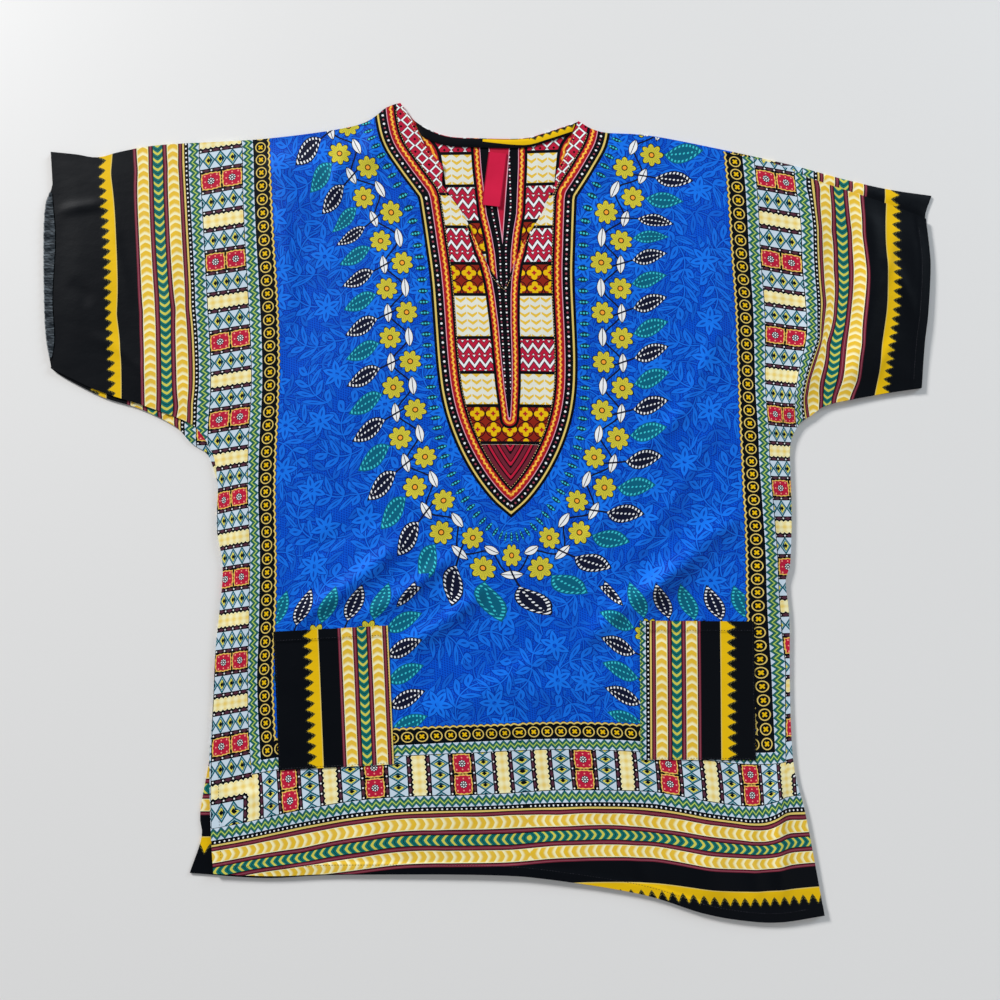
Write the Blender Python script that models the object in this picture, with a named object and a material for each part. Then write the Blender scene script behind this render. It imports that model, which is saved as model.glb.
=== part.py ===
"""Dashiki shirt laid flat on its back, front up, with the neck towards +Y and its centre over the origin.

Kimono cut: a front and a back panel, each with its half sleeves in one piece, meet along the shoulders,
the underarms and the sides. The side seams stop at vents above the hem. Two patch pockets lie on the
front, and a narrow facing and a label lie inside the back neck. Every length below is in millimetres.
"""

import math
from collections import namedtuple

import bpy
from mathutils import Vector
from mathutils.geometry import delaunay_2d_cdt

# Driving dimensions
SPAN = 998.0  # cuff to cuff
CHEST = 622.0  # side seam to side seam
BODY_LENGTH = 842.0  # left neck point down to the left corner of the hem
LEFT_CUFF_DEPTH = 247.0
RIGHT_CUFF_DEPTH = 218.0
NECK_WIDTH = 200.0
SLIT_DEPTH = 216.0  # neck point to the bottom of the front slit
VENT = 122.0
POCKET_WIDTH = 124.0
POCKET_DEPTH = 148.0
LABEL_WIDTH = 21.0
LABEL_LENGTH = 62.0
FACING_WIDTH = 11.0
FACING_CLEAR = 1.0  # from the neckline, and from the front's edge
WALL = 1.2  # cloth, stiffened to a wall that can be packed
GAP = 0.3  # between neighbouring pieces
GRID = 18.0  # spacing of the points inside the front
BACK_GRID = 90.0  # and inside the back
ROW = 0.87  # from one row of a grid to the next, over the spacing of its points
EDGE_STEP = 14.0  # spacing of the points along an edge

TOP = 457.0  # height of the left neck point
NECK_X = -95.0  # left neck point
METRES = 0.001

# Where the corners of the two panels lie
Corner = namedtuple("Corner", "x y")
NECK_LEFT = Corner(NECK_X, TOP)
NECK_RIGHT = Corner(NECK_X + NECK_WIDTH, TOP - 28)
LEFT_CUFF_TOP = Corner(9 - SPAN / 2, TOP - 44)
LEFT_CUFF_END = Corner(9 - SPAN / 2, TOP - 44 - LEFT_CUFF_DEPTH)
RIGHT_CUFF_TOP = Corner(SPAN / 2, TOP - 127)
RIGHT_CUFF_END = Corner(SPAN / 2 - 26, TOP - 127 - RIGHT_CUFF_DEPTH)
LEFT_ARMPIT = Corner(-306, TOP - 428)
RIGHT_ARMPIT = Corner(CHEST - 299, TOP - 412)
LEFT_HEM = Corner(-342, TOP - BODY_LENGTH)
RIGHT_HEM = Corner(333, TOP - BODY_LENGTH - 66)
FRONT_LEFT_HEM = Corner(-316, TOP - BODY_LENGTH - 1)
FRONT_LEFT_VENT = Corner(-319, TOP - BODY_LENGTH - 1 + VENT)
FRONT_RIGHT_CUFF = Corner(490, TOP - 154)
NECKLINE_END_LEFT = Corner(-49, TOP - 74)
NECKLINE_END_RIGHT = Corner(79, TOP - 84)
SLIT_TOP_LEFT = Corner(-51, TOP - 96)
SLIT_TOP_RIGHT = Corner(76, TOP - 101)
SLIT_BOTTOM = Corner(15, TOP - SLIT_DEPTH)

# How each edge bows away from the straight line between its corners: how far along it in per cent, and
# how far out of the garment
Bow = namedtuple("Bow", "along out")
LEFT_SHOULDER = (
    Bow(7, -7), Bow(13, -14), Bow(20, -11), Bow(32, -10),
    Bow(62, -20), Bow(87, -19), Bow(96, -3),
)
BACK_NECK = (
    Bow(6, -13), Bow(12, -22), Bow(27, -32), Bow(45, -31),
    Bow(70, -26), Bow(82, -17), Bow(95, -5),
)
RIGHT_SHOULDER = (Bow(7, -6), Bow(23, 2), Bow(57, 2), Bow(75, -2), Bow(88, -3))
RIGHT_CUFF = (Bow(13, -6), Bow(34, 3), Bow(60, 3), Bow(76, 1))
RIGHT_UNDERARM = (Bow(21, -11), Bow(47, -23), Bow(64, -29), Bow(76, -26), Bow(85, -24), Bow(95, -12))
RIGHT_SIDE = (
    Bow(14, -3), Bow(25, -9), Bow(28, -15), Bow(37, -14),
    Bow(52, -19), Bow(68, -21), Bow(79, -12),
)
HEM = (
    Bow(7, 10), Bow(13, 11), Bow(19, 6), Bow(29, -9),
    Bow(44, -18), Bow(54, -18), Bow(77, -8), Bow(88, 0),
)
FRONT_HEM = (
    Bow(7, 10), Bow(13, 11), Bow(20, 6), Bow(30, -9),
    Bow(45, -18), Bow(56, -18), Bow(79, -9), Bow(90, -2),
)
LEFT_SIDE_BELOW_VENT = (Bow(32, -6), Bow(52, 0))
LEFT_SIDE = (Bow(20, -2), Bow(40, -3), Bow(68, -8), Bow(84, 0))
LEFT_UNDERARM = (Bow(13, -21), Bow(23, -21), Bow(34, -26), Bow(53, -20), Bow(71, -7), Bow(92, 0))
LEFT_CUFF = (Bow(18, 7), Bow(54, 9), Bow(75, 7), Bow(85, -1))
FRONT_LEFT_CUFF = (Bow(13, -5), Bow(32, -3), Bow(59, -6), Bow(78, -3))
FRONT_LEFT_UNDERARM = (Bow(11, -25), Bow(23, -37), Bow(30, -38), Bow(43, -31), Bow(54, -24), Bow(76, -9))
FRONT_RIGHT_SHOULDER = (
    Bow(7, -5), Bow(23, 7), Bow(41, 12), Bow(57, 14),
    Bow(67, 9), Bow(82, 6), Bow(92, 4),
)
FRONT_RIGHT_CUFF_EDGE = (Bow(26, 6), Bow(55, 5), Bow(73, 2))
FRONT_VENT_EDGE = (Bow(28, 1), Bow(62, 1))
NECK_EDGE_LEFT = (Bow(20, 0), Bow(40, -1), Bow(63, -4), Bow(83, -3))
SLIT_EDGE_LEFT = (Bow(17, 2), Bow(35, 3), Bow(63, -1), Bow(84, -3))
SLIT_EDGE_RIGHT = (Bow(19, 1), Bow(40, 3), Bow(71, -1), Bow(86, 0))
NECK_EDGE_RIGHT = (Bow(22, -2), Bow(48, -1), Bow(73, 0))

# The largest folds of the front, each a soft ridge along a bowed line, or a trough where its height is
# below 0. The width is the half width of the ridge.
Fold = namedtuple("Fold", "x0 y0 x1 y1 bow height width")
FOLDS = (
    Fold(-228, -122, -104, -36, -6, 3.2, 13),  # left of the pocket's top, up to the right
    Fold(-150, -118, -48, -52, -5, 2.6, 11),
    Fold(-112, -154, -20, -94, -5, 2.8, 12),
    Fold(150, -124, 268, -20, 8, 3.6, 17),  # above the right pocket
    Fold(84, -160, 216, -66, 6, 2.6, 13),
    Fold(-60, -230, 100, -196, 8, 1.8, 22),  # across the middle, above the hem border
    Fold(425, 322, 390, 112, 16, 4.6, 15),  # along the right sleeve
    Fold(357, 338, 334, 96, 14, 3.0, 13),  # beside it, over the tucked stripe
    Fold(479, 286, 472, 150, 3, 2.6, 10),  # right cuff
    Fold(-484, 343, -430, 350, 1, 1.6, 6),  # crease on the left cuff
    Fold(-470, 262, -446, 238, 2, -0.9, 8),
    Fold(-118, 450, -128, 385, -3, 3.0, 14),  # left of the neck
    Fold(112, 420, 128, 350, 4, 2.2, 13),
    Fold(-240, 395, -150, 372, -5, 1.8, 18),  # left shoulder
    Fold(292, -290, 289, -430, -2, 3.0, 8),  # at the right vent
    Fold(200, -300, 215, -436, 5, 2.2, 18),  # waves down to the hem
    Fold(60, -318, 66, -404, 3, 1.8, 20),
    Fold(-150, -322, -160, -386, 3, 1.6, 18),
    Fold(-306, -372, 90, -402, -3, 1.6, 8),  # where the hem rolls under
    Fold(285, 30, 296, -128, 5, 2.6, 13),  # beside the right side seam
    Fold(-285, 20, -280, -180, -3, 1.6, 13),
    Fold(232, 330, 250, 130, 4, 2.2, 16),  # right chest
    Fold(-238, 340, -252, 120, -3, 1.4, 16),
)
Swell = namedtuple("Swell", "along_x along_y shift height")
SWELLS = (Swell(0.021, 0.013, 0.4, 0.55), Swell(-0.011, 0.027, 2.1, 0.45), Swell(0.034, -0.019, 4.0, 0.3))
FOLD_FOOT = 1.1  # from its crest to its foot, over its width
FOLD_RUN_OUT = 0.15  # how far past its ends a fold dies away, as a share of its length
FOLD_END = 0.4  # the stretch at each end over which it rises, likewise
EDGE_SETTLE = 30.0  # the folds die down over this distance from the seams
SEAM_SHARE = 0.35  # share of their height that is left at the seams

# Seams that have rolled onto the front, so that a strip of the back shows beside them
Stretch = namedtuple("Stretch", "x0 x1 y0 y1")
ROLLED = (
    Stretch(-500, -300, 30, 160),  # below the left sleeve
    Stretch(325, 500, 290, 457),  # along the right shoulder
)
ROLL_CLEAR = 0.4  # from the front's edge to the first row of the strip's points
ROLL_REACH = 1.6  # and to the second, where the strip has its full height
ROLL_START = 0.5
ROLL_LEAST = 3.0  # narrowest strip that is raised
ROLL_EDGE = 5.0  # its outer edge is rounded over this width

Patch = namedtuple("Patch", "name x y lean")
POCKETS = (Patch("pocket_left", -184, -204.5, 1.2), Patch("pocket_right", 209, -209.5, -2.2))
LABEL = Patch("neck_label", 8.5, 365, -9.0)

Finish = namedtuple("Finish", "name colour roughness")
BLUE_PRINT = Finish("printed_cotton_blue", (0.01, 0.09, 0.55, 1), 0.62)
DARK_PRINT = Finish("printed_cotton_dark", (0.02, 0.02, 0.03, 1), 0.6)
STRIPED_PRINT = Finish("printed_cotton_striped", (0.70, 0.50, 0.10, 1), 0.62)
RED_WEAVE = Finish("woven_label_red", (0.45, 0.01, 0.03, 1), 0.5)


def clear_scene():
    for thing in list(bpy.data.objects):
        bpy.data.objects.remove(thing, do_unlink=True)


def material(finish):
    found = bpy.data.materials.get(finish.name)
    if found:
        return found
    made = bpy.data.materials.new(finish.name)
    made.use_nodes = True
    shader = made.node_tree.nodes["Principled BSDF"]
    shader.inputs["Base Color"].default_value = finish.colour
    shader.inputs["Roughness"].default_value = finish.roughness
    shader.inputs["Metallic"].default_value = 0.0
    return made


def smooth(value):
    value = min(1.0, max(0.0, value))
    return value * value * (3 - 2 * value)


def seam(start, end, bows):
    """Points from start up to, but not at, end, on a smooth curve through the bowed rows between them."""
    start, end = Vector(start), Vector(end)
    run = end - start
    out = Vector((-run.y, run.x)).normalized()
    through = [start] + [start + run * (bow.along / 100) + out * bow.out for bow in bows] + [end]
    padded = [2 * through[0] - through[1]] + through + [2 * through[-1] - through[-2]]
    points = []
    for before, here, after, beyond in zip(padded, padded[1:], padded[2:], padded[3:]):
        steps = max(1, round((after - here).length / EDGE_STEP))
        for step in range(steps):
            t = step / steps
            points.append(
                0.5 * (2 * here + (after - before) * t
                       + (2 * before - 5 * here + 4 * after - beyond) * t ** 2
                       + (3 * here - before - 3 * after + beyond) * t ** 3)
            )
    return points


def back_outline():
    return (
        seam(LEFT_CUFF_TOP, NECK_LEFT, LEFT_SHOULDER)
        + seam(NECK_LEFT, NECK_RIGHT, BACK_NECK)
        + seam(NECK_RIGHT, RIGHT_CUFF_TOP, RIGHT_SHOULDER)
        + seam(RIGHT_CUFF_TOP, RIGHT_CUFF_END, RIGHT_CUFF)
        + seam(RIGHT_CUFF_END, RIGHT_ARMPIT, RIGHT_UNDERARM)
        + seam(RIGHT_ARMPIT, RIGHT_HEM, RIGHT_SIDE)
        + seam(RIGHT_HEM, LEFT_HEM, HEM)
        + seam(LEFT_HEM, FRONT_LEFT_VENT, LEFT_SIDE_BELOW_VENT)
        + seam(FRONT_LEFT_VENT, LEFT_ARMPIT, LEFT_SIDE)
        + seam(LEFT_ARMPIT, LEFT_CUFF_END, LEFT_UNDERARM)
        + seam(LEFT_CUFF_END, LEFT_CUFF_TOP, LEFT_CUFF)
    )


def front_outline():
    return (
        seam(LEFT_CUFF_TOP, NECK_LEFT, LEFT_SHOULDER)
        + seam(NECK_LEFT, NECKLINE_END_LEFT, NECK_EDGE_LEFT)
        + seam(NECKLINE_END_LEFT, SLIT_TOP_LEFT, ())
        + seam(SLIT_TOP_LEFT, SLIT_BOTTOM, SLIT_EDGE_LEFT)
        + seam(SLIT_BOTTOM, SLIT_TOP_RIGHT, SLIT_EDGE_RIGHT)
        + seam(SLIT_TOP_RIGHT, NECKLINE_END_RIGHT, ())
        + seam(NECKLINE_END_RIGHT, NECK_RIGHT, NECK_EDGE_RIGHT)
        + seam(NECK_RIGHT, FRONT_RIGHT_CUFF, FRONT_RIGHT_SHOULDER)
        + seam(FRONT_RIGHT_CUFF, RIGHT_CUFF_END, FRONT_RIGHT_CUFF_EDGE)
        + seam(RIGHT_CUFF_END, RIGHT_ARMPIT, RIGHT_UNDERARM)
        + seam(RIGHT_ARMPIT, RIGHT_HEM, RIGHT_SIDE)
        + seam(RIGHT_HEM, FRONT_LEFT_HEM, FRONT_HEM)
        + seam(FRONT_LEFT_HEM, FRONT_LEFT_VENT, FRONT_VENT_EDGE)
        + seam(FRONT_LEFT_VENT, LEFT_ARMPIT, LEFT_SIDE)
        + seam(LEFT_ARMPIT, LEFT_CUFF_END, FRONT_LEFT_UNDERARM)
        + seam(LEFT_CUFF_END, LEFT_CUFF_TOP, FRONT_LEFT_CUFF)
    )


def inside(point, outline):
    held = False
    for a, b in zip(outline, outline[1:] + outline[:1]):
        crosses = (a.y > point.y) != (b.y > point.y)
        if crosses and point.x < a.x + (point.y - a.y) * (b.x - a.x) / (b.y - a.y):
            held = not held
    return held


def to_segment(point, a, b):
    run = b - a
    t = min(1.0, max(0.0, (point - a).dot(run) / run.length_squared))
    return (point - a - run * t).length


def to_edge(point, outline):
    return min(to_segment(point, a, b) for a, b in zip(outline, outline[1:] + outline[:1]))


def triangulate(outline, points, lines=()):
    """Corners and triangles of the area within the outline, through the points and along the open lines."""
    corners = list(outline)
    edges = []
    for line in lines:
        first = len(corners)
        corners += line
        edges += [(first + i, first + i + 1) for i in range(len(line) - 1)]
    corners += points
    found = delaunay_2d_cdt(corners, edges, [list(range(len(outline)))], 1, 1e-4)
    return found[0], [list(face) for face in found[2]]


def slab(name, corners, faces, low, high, finish):
    """A closed wall over flat triangles. low and high give its lower and upper height at each corner."""
    faces = [face if area_of(corners, face) > 0 else face[::-1] for face in faces]
    count = len(corners)
    points = [(c.x, c.y, low[i]) for i, c in enumerate(corners)]
    points += [(c.x, c.y, high[i]) for i, c in enumerate(corners)]
    rims = {}
    for face in faces:
        for a, b in zip(face, face[1:] + face[:1]):
            if rims.pop((b, a), None) is None:
                rims[(a, b)] = True
    sides = [face[::-1] for face in faces]
    sides += [[i + count for i in face] for face in faces]
    sides += [[a, b, b + count, a + count] for a, b in rims]
    mesh = bpy.data.meshes.new(name)
    mesh.from_pydata([Vector(p) * METRES for p in points], [], sides)
    mesh.validate()
    mesh.shade_smooth()
    mesh.set_sharp_from_angle(angle=math.radians(40))
    mesh.materials.append(material(finish))
    piece = bpy.data.objects.new(name, mesh)
    bpy.context.scene.collection.objects.link(piece)
    return piece


def area_of(corners, face):
    a, b, c = (corners[i] for i in face)
    return (b - a).cross(c - a)


def fold_line(fold):
    start, run = Vector((fold.x0, fold.y0)), Vector((fold.x1 - fold.x0, fold.y1 - fold.y0))
    return start, run, Vector((-run.y, run.x)).normalized()


def bowed(fold, along):
    return fold.bow * 4 * along * (1 - along)


def fold_height(point, fold):
    """Height of one fold at a point: a bell across its bowed line, dying away at both ends."""
    start, run, out = fold_line(fold)
    along = (point - start).dot(run) / run.length_squared
    if not -FOLD_RUN_OUT < along < 1 + FOLD_RUN_OUT:
        return 0.0
    across = (point - start).dot(out) - bowed(fold, along)
    ends = smooth((along + FOLD_RUN_OUT) / FOLD_END) * smooth((1 + FOLD_RUN_OUT - along) / FOLD_END)
    return fold.height * ends * math.exp(-((across / fold.width) ** 2))


def fold_points(outline, clear):
    """Points along the crest of each fold and along both its feet."""
    points = []
    for fold in FOLDS:
        start, run, out = fold_line(fold)
        steps = max(2, round(run.length / GRID))
        for step in range(steps + 1):
            along = step / steps
            for foot in (-FOLD_FOOT, 0, FOLD_FOOT):
                point = start + run * along + out * (bowed(fold, along) + foot * fold.width)
                crowded = any((point - other).length < clear for other in points)
                if not crowded and inside(point, outline) and to_edge(point, outline) > clear:
                    points.append(point)
    return points


def front_lift(point, outline):
    """How far the front's cloth stands above its lowest place."""
    swell = sum(
        s.height * (1 + math.sin(s.along_x * point.x + s.along_y * point.y + s.shift)) for s in SWELLS
    )
    lift = swell + sum(fold_height(point, fold) for fold in FOLDS)
    share = SEAM_SHARE + (1 - SEAM_SHARE) * smooth(to_edge(point, outline) / EDGE_SETTLE)
    return max(0.0, lift * share)


def grid_points(outline, spacing, clear):
    """Points of a staggered grid inside the outline and clear of it."""
    xs = [p.x for p in outline]
    ys = [p.y for p in outline]
    points = []
    for row in range(int((max(ys) - min(ys)) / (spacing * ROW)) + 1):
        y = min(ys) + row * spacing * ROW
        shift = spacing / 2 * (row % 2)
        for column in range(int((max(xs) - min(xs)) / spacing) + 1):
            point = Vector((min(xs) + shift + column * spacing, y))
            if inside(point, outline) and to_edge(point, outline) > clear:
                points.append(point)
    return points


def patch_outline(patch, width, depth, step):
    """Corners of a leaning rectangle, with points along its sides."""
    turn = math.radians(patch.lean)
    across, up = Vector((math.cos(turn), math.sin(turn))), Vector((-math.sin(turn), math.cos(turn)))
    middle = Vector((patch.x, patch.y))
    corners = [
        middle + across * (width / 2 * i) + up * (depth / 2 * j)
        for i, j in ((-1, -1), (1, -1), (1, 1), (-1, 1))
    ]
    points = []
    for a, b in zip(corners, corners[1:] + corners[:1]):
        steps = max(1, round((b - a).length / step))
        points += [a + (b - a) * (i / steps) for i in range(steps)]
    return points


def make_front(outline):
    """The front panel, and the two pockets made from its points under them, moved out."""
    patches = [patch_outline(patch, POCKET_WIDTH, POCKET_DEPTH, GRID) for patch in POCKETS]
    crests = fold_points(outline, GRID * 0.4)
    points = crests + [
        point
        for point in grid_points(outline, GRID, GRID * 0.5)
        if all((point - crest).length > GRID * 0.6 for crest in crests)
    ]
    points = [p for p in points if all(to_edge(p, edge) > GRID * 0.3 for edge in patches)]
    corners, faces = triangulate(outline, points, [edge + edge[:1] for edge in patches])
    low = [WALL + GAP + front_lift(corner, outline) for corner in corners]
    high = [height + WALL for height in low]
    slab("front_panel", corners, faces, low, high, BLUE_PRINT)
    for patch, edge in zip(POCKETS, patches):
        held = [face for face in faces if inside(sum((corners[i] for i in face), Vector((0, 0))) / 3, edge)]
        used = sorted({i for face in held for i in face})
        place = {i: n for n, i in enumerate(used)}
        under = [high[i] + GAP for i in used]
        slab(
            patch.name,
            [corners[i] for i in used],
            [[place[i] for i in face] for face in held],
            under,
            [height + WALL for height in under],
            STRIPED_PRINT,
        )


def beside(outline, edge, distance):
    """Runs of points this far outside the edge, beside the rolled seams, that lie within the outline."""
    runs, run = [], []
    for before, here, after in zip(edge[-1:] + edge[:-1], edge, edge[1:] + edge[:1]):
        along = (after - before).normalized()
        point = here + Vector((-along.y, along.x)) * distance
        if rolled(point) and inside(point, outline) and to_edge(point, outline) > ROLL_LEAST / 2:
            run.append(point)
        elif run:
            runs.append(run)
            run = []
    return [run for run in runs if len(run) > 2]


def rolled(point):
    """True beside the two seams that have rolled onto the front."""
    return any(part.x0 < point.x < part.x1 and part.y0 < point.y < part.y1 for part in ROLLED)


def back_rise(point, outline, edge):
    """Height of the back's upper side over its lower side, raised in the strips beside the rolled seams."""
    if not rolled(point) or inside(point, edge):
        return WALL
    clear = smooth((to_edge(point, edge) - ROLL_START) / (ROLL_REACH - ROLL_CLEAR))
    rounded = smooth((to_edge(point, outline) - ROLL_LEAST) / ROLL_EDGE)
    return WALL + (WALL + GAP) * clear * rounded


def make_back(outline, edge):
    lines = beside(outline, edge, ROLL_CLEAR) + beside(outline, edge, ROLL_REACH)
    corners, faces = triangulate(outline, grid_points(outline, BACK_GRID, GRID), lines)
    low = [0.0] * len(corners)
    high = [back_rise(corner, outline, edge) for corner in corners]
    slab("back_panel", corners, faces, low, high, BLUE_PRINT)


def make_facing(outline, edge):
    """A strip along the inside of the back's neckline, clear of the front's neck edges."""
    neckline = [Vector(NECK_LEFT)] + seam(NECK_LEFT, NECK_RIGHT, BACK_NECK)[1:] + [Vector(NECK_RIGHT)]
    upper, lower = [], []
    for before, here, after in zip(neckline, neckline[1:], neckline[2:]):
        along = (after - before).normalized()
        inward = Vector((along.y, -along.x))
        rows = here + inward * FACING_CLEAR, here + inward * FACING_WIDTH
        if all(not inside(point, edge) and to_edge(point, edge) > FACING_CLEAR for point in rows):
            upper.append(rows[0])
            lower.append(rows[1])
    strip = upper + lower[::-1]
    corners, faces = triangulate(strip, [])
    low = [WALL + GAP] * len(corners)
    slab("back_neck_facing", corners, faces, low, [height + WALL for height in low], DARK_PRINT)


def make_label():
    corners, faces = triangulate(patch_outline(LABEL, LABEL_WIDTH, LABEL_LENGTH, LABEL_LENGTH), [])
    low = [WALL + GAP] * len(corners)
    slab(LABEL.name, corners, faces, low, [height + WALL for height in low], RED_WEAVE)


def main():
    clear_scene()
    back, front = back_outline(), front_outline()
    make_back(back, front)
    make_front(front)
    make_facing(back, front)
    make_label()


main()
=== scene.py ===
"""Looks of the dashiki shirt: printed cloth panels laid flat, with their hems, seams and stitching.

Each panel is drawn on its flat cut, in print coordinates (u to the right of the print's middle, v up), and
laid from there onto the place where the cloth lies. Lengths are in millimetres unless they say otherwise.
"""
import math
from collections import namedtuple

import bpy
import numpy as np
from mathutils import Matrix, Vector
from mathutils.geometry import delaunay_2d_cdt


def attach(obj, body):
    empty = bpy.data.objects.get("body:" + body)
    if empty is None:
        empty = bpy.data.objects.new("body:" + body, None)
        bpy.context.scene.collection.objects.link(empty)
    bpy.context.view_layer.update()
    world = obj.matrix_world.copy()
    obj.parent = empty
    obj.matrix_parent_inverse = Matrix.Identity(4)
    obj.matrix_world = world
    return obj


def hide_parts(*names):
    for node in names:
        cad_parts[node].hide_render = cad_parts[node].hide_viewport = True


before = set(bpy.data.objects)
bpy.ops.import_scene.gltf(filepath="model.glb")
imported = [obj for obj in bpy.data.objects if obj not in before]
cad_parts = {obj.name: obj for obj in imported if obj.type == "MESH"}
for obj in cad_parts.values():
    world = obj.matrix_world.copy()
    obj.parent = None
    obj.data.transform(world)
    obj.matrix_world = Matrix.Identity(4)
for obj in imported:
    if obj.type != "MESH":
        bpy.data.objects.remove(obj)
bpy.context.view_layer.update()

METRES = 0.001

# ---------------- the garment's sizes, as its solids have them
SPAN = 998.0
CHEST = 622.0
LEFT_CUFF_DEPTH = 247.0
RIGHT_CUFF_DEPTH = 218.0
NECK_WIDTH = 200.0
SLIT_DEPTH = 216.0
VENT = 122.0
POCKET_WIDTH = 124.0
POCKET_DEPTH = 148.0
LABEL_WIDTH = 21.0
LABEL_LENGTH = 62.0
FACING_WIDTH = 11.0
FACING_LEAST = 2.0  # where less than this clears the front's edge, there is no facing
FACING_CLEAR = 1.2
FACING_ROUND = 3.0  # its edges are rounded over this width
WALL = 1.2
GAP = 0.3
EDGE_STEP = 7.0  # spacing of the points along an edge
TOP = 457.0

Corner = namedtuple("Corner", "x y")
NECK_LEFT = Corner(-95, TOP)
NECK_RIGHT = Corner(NECK_WIDTH - 95, TOP - 28)
LEFT_CUFF_TOP = Corner(9 - SPAN / 2, TOP - 44)
LEFT_CUFF_END = Corner(9 - SPAN / 2, TOP - 44 - LEFT_CUFF_DEPTH)
RIGHT_CUFF_TOP = Corner(SPAN / 2, TOP - 127)
RIGHT_CUFF_END = Corner(SPAN / 2 - 26, TOP - 127 - RIGHT_CUFF_DEPTH)
LEFT_ARMPIT = Corner(-306, TOP - 428)
RIGHT_ARMPIT = Corner(CHEST - 299, TOP - 412)
RIGHT_HEM = Corner(333, TOP - 908)
LEFT_HEM = Corner(-342, TOP - 842)
FRONT_LEFT_HEM = Corner(-316, TOP - 843)
FRONT_LEFT_VENT = Corner(-319, TOP - 843 + VENT)
FRONT_RIGHT_CUFF = Corner(490, TOP - 154)
NECKLINE_END_LEFT = Corner(-49, TOP - 74)
NECKLINE_END_RIGHT = Corner(79, TOP - 84)
SLIT_TOP_LEFT = Corner(-51, TOP - 96)
SLIT_TOP_RIGHT = Corner(76, TOP - 101)
SLIT_BOTTOM = Corner(15, TOP - SLIT_DEPTH)

# How each edge bows away from the straight line between its corners: per cent along it, millimetres out
Bow = namedtuple("Bow", "along out")


def bows(*rows):
    return tuple(Bow(*row) for row in rows)


LEFT_SHOULDER = bows((7, -7), (13, -14), (20, -11), (32, -10), (62, -20), (87, -19), (96, -3))
BACK_NECK = bows((6, -13), (12, -22), (27, -32), (45, -31), (70, -26), (82, -17), (95, -5))
RIGHT_SHOULDER = bows((7, -6), (23, 2), (57, 2), (75, -2), (88, -3))
RIGHT_CUFF = bows((13, -6), (34, 3), (60, 3), (76, 1))
RIGHT_UNDERARM = bows((21, -11), (47, -23), (64, -29), (76, -26), (85, -24), (95, -12))
RIGHT_SIDE = bows((14, -3), (25, -9), (28, -15), (37, -14), (52, -19), (68, -21), (79, -12))
HEM = bows((7, 10), (13, 11), (19, 6), (29, -9), (44, -18), (54, -18), (77, -8), (88, 0))
FRONT_HEM = bows((7, 10), (13, 11), (20, 6), (30, -9), (45, -18), (56, -18), (79, -9), (90, -2))
LEFT_SIDE_BELOW_VENT = bows((32, -6), (52, 0))
LEFT_SIDE = bows((20, -2), (40, -3), (68, -8), (84, 0))
LEFT_UNDERARM = bows((13, -21), (23, -21), (34, -26), (53, -20), (71, -7), (92, 0))
LEFT_CUFF = bows((18, 7), (54, 9), (75, 7), (85, -1))
FRONT_LEFT_CUFF = bows((13, -5), (32, -3), (59, -6), (78, -3))
FRONT_LEFT_UNDERARM = bows((11, -25), (23, -37), (30, -38), (43, -31), (54, -24), (76, -9))
FRONT_RIGHT_SHOULDER = bows((7, -5), (23, 7), (41, 12), (57, 14), (67, 9), (82, 6), (92, 4))
FRONT_RIGHT_CUFF_EDGE = bows((26, 6), (55, 5), (73, 2))
FRONT_VENT_EDGE = bows((28, 1), (62, 1))
NECK_EDGE_LEFT = bows((20, 0), (40, -1), (63, -4), (83, -3))
SLIT_EDGE_LEFT = bows((17, 2), (35, 3), (63, -1), (84, -3))
SLIT_EDGE_RIGHT = bows((19, 1), (40, 3), (71, -1), (86, 0))
NECK_EDGE_RIGHT = bows((22, -2), (48, -1), (73, 0))

# Folds of the front: a soft ridge, or a trough below 0, along a bowed line. Width is the half width.
Fold = namedtuple("Fold", "x0 y0 x1 y1 bow height width")
FOLDS = [Fold(*row) for row in (
    (-228, -122, -104, -36, -6, 3.2, 13), (-150, -118, -48, -52, -5, 2.6, 11),
    (-112, -154, -20, -94, -5, 2.8, 12), (150, -124, 268, -20, 8, 3.6, 17),
    (84, -160, 216, -66, 6, 2.6, 13), (-60, -230, 100, -196, 8, 1.8, 22), (425, 322, 390, 112, 16, 4.6, 15),
    (357, 338, 334, 96, 14, 3.0, 13), (479, 286, 472, 150, 3, 2.6, 10), (-484, 343, -430, 350, 1, 1.6, 6),
    (-470, 262, -446, 238, 2, -0.9, 8), (-118, 450, -128, 385, -3, 3.0, 14),
    (112, 420, 128, 350, 4, 2.2, 13), (-240, 395, -150, 372, -5, 1.8, 18),
    (292, -290, 289, -430, -2, 3.0, 8), (200, -300, 215, -436, 5, 2.2, 18),
    (60, -318, 66, -404, 3, 1.8, 20), (-150, -322, -160, -386, 3, 1.6, 18),
    (-306, -372, 90, -402, -3, 1.6, 8), (285, 30, 296, -128, 5, 2.6, 13),
    (-285, 20, -280, -180, -3, 1.6, 13), (232, 330, 250, 130, 4, 2.2, 16),
    (-238, 340, -252, 120, -3, 1.4, 16),
)]
Swell = namedtuple("Swell", "along_x along_y shift height")
SWELLS = (
    Swell(0.021, 0.013, 0.4, 0.55), Swell(-0.011, 0.027, 2.1, 0.45), Swell(0.034, -0.019, 4.0, 0.3),
)
FOLD_RUN_OUT = 0.15  # how far past its ends a fold dies away, as a share of its length
FOLD_END = 0.4  # the stretch at each end over which it rises, likewise
EDGE_SETTLE = 30.0  # the folds die down over this distance from the seams
SEAM_SHARE = 0.35  # share of their height that is left at the seams
CREASE_SHARE = 0.25  # and of the finer creases' height
ROLL_CLEAR = 0.4  # from the front's edge to where the back's rolled strip starts to rise
ROLL_REACH = 1.2  # and over how far it rises
ROLL_EDGE = 5.0  # its outer edge is rounded over this width
Area = namedtuple("Area", "left right low high")
ROLLED = (Area(-SPAN, -300, 30, 160), Area(325, SPAN, 290, TOP))  # where the back has such strips

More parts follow.
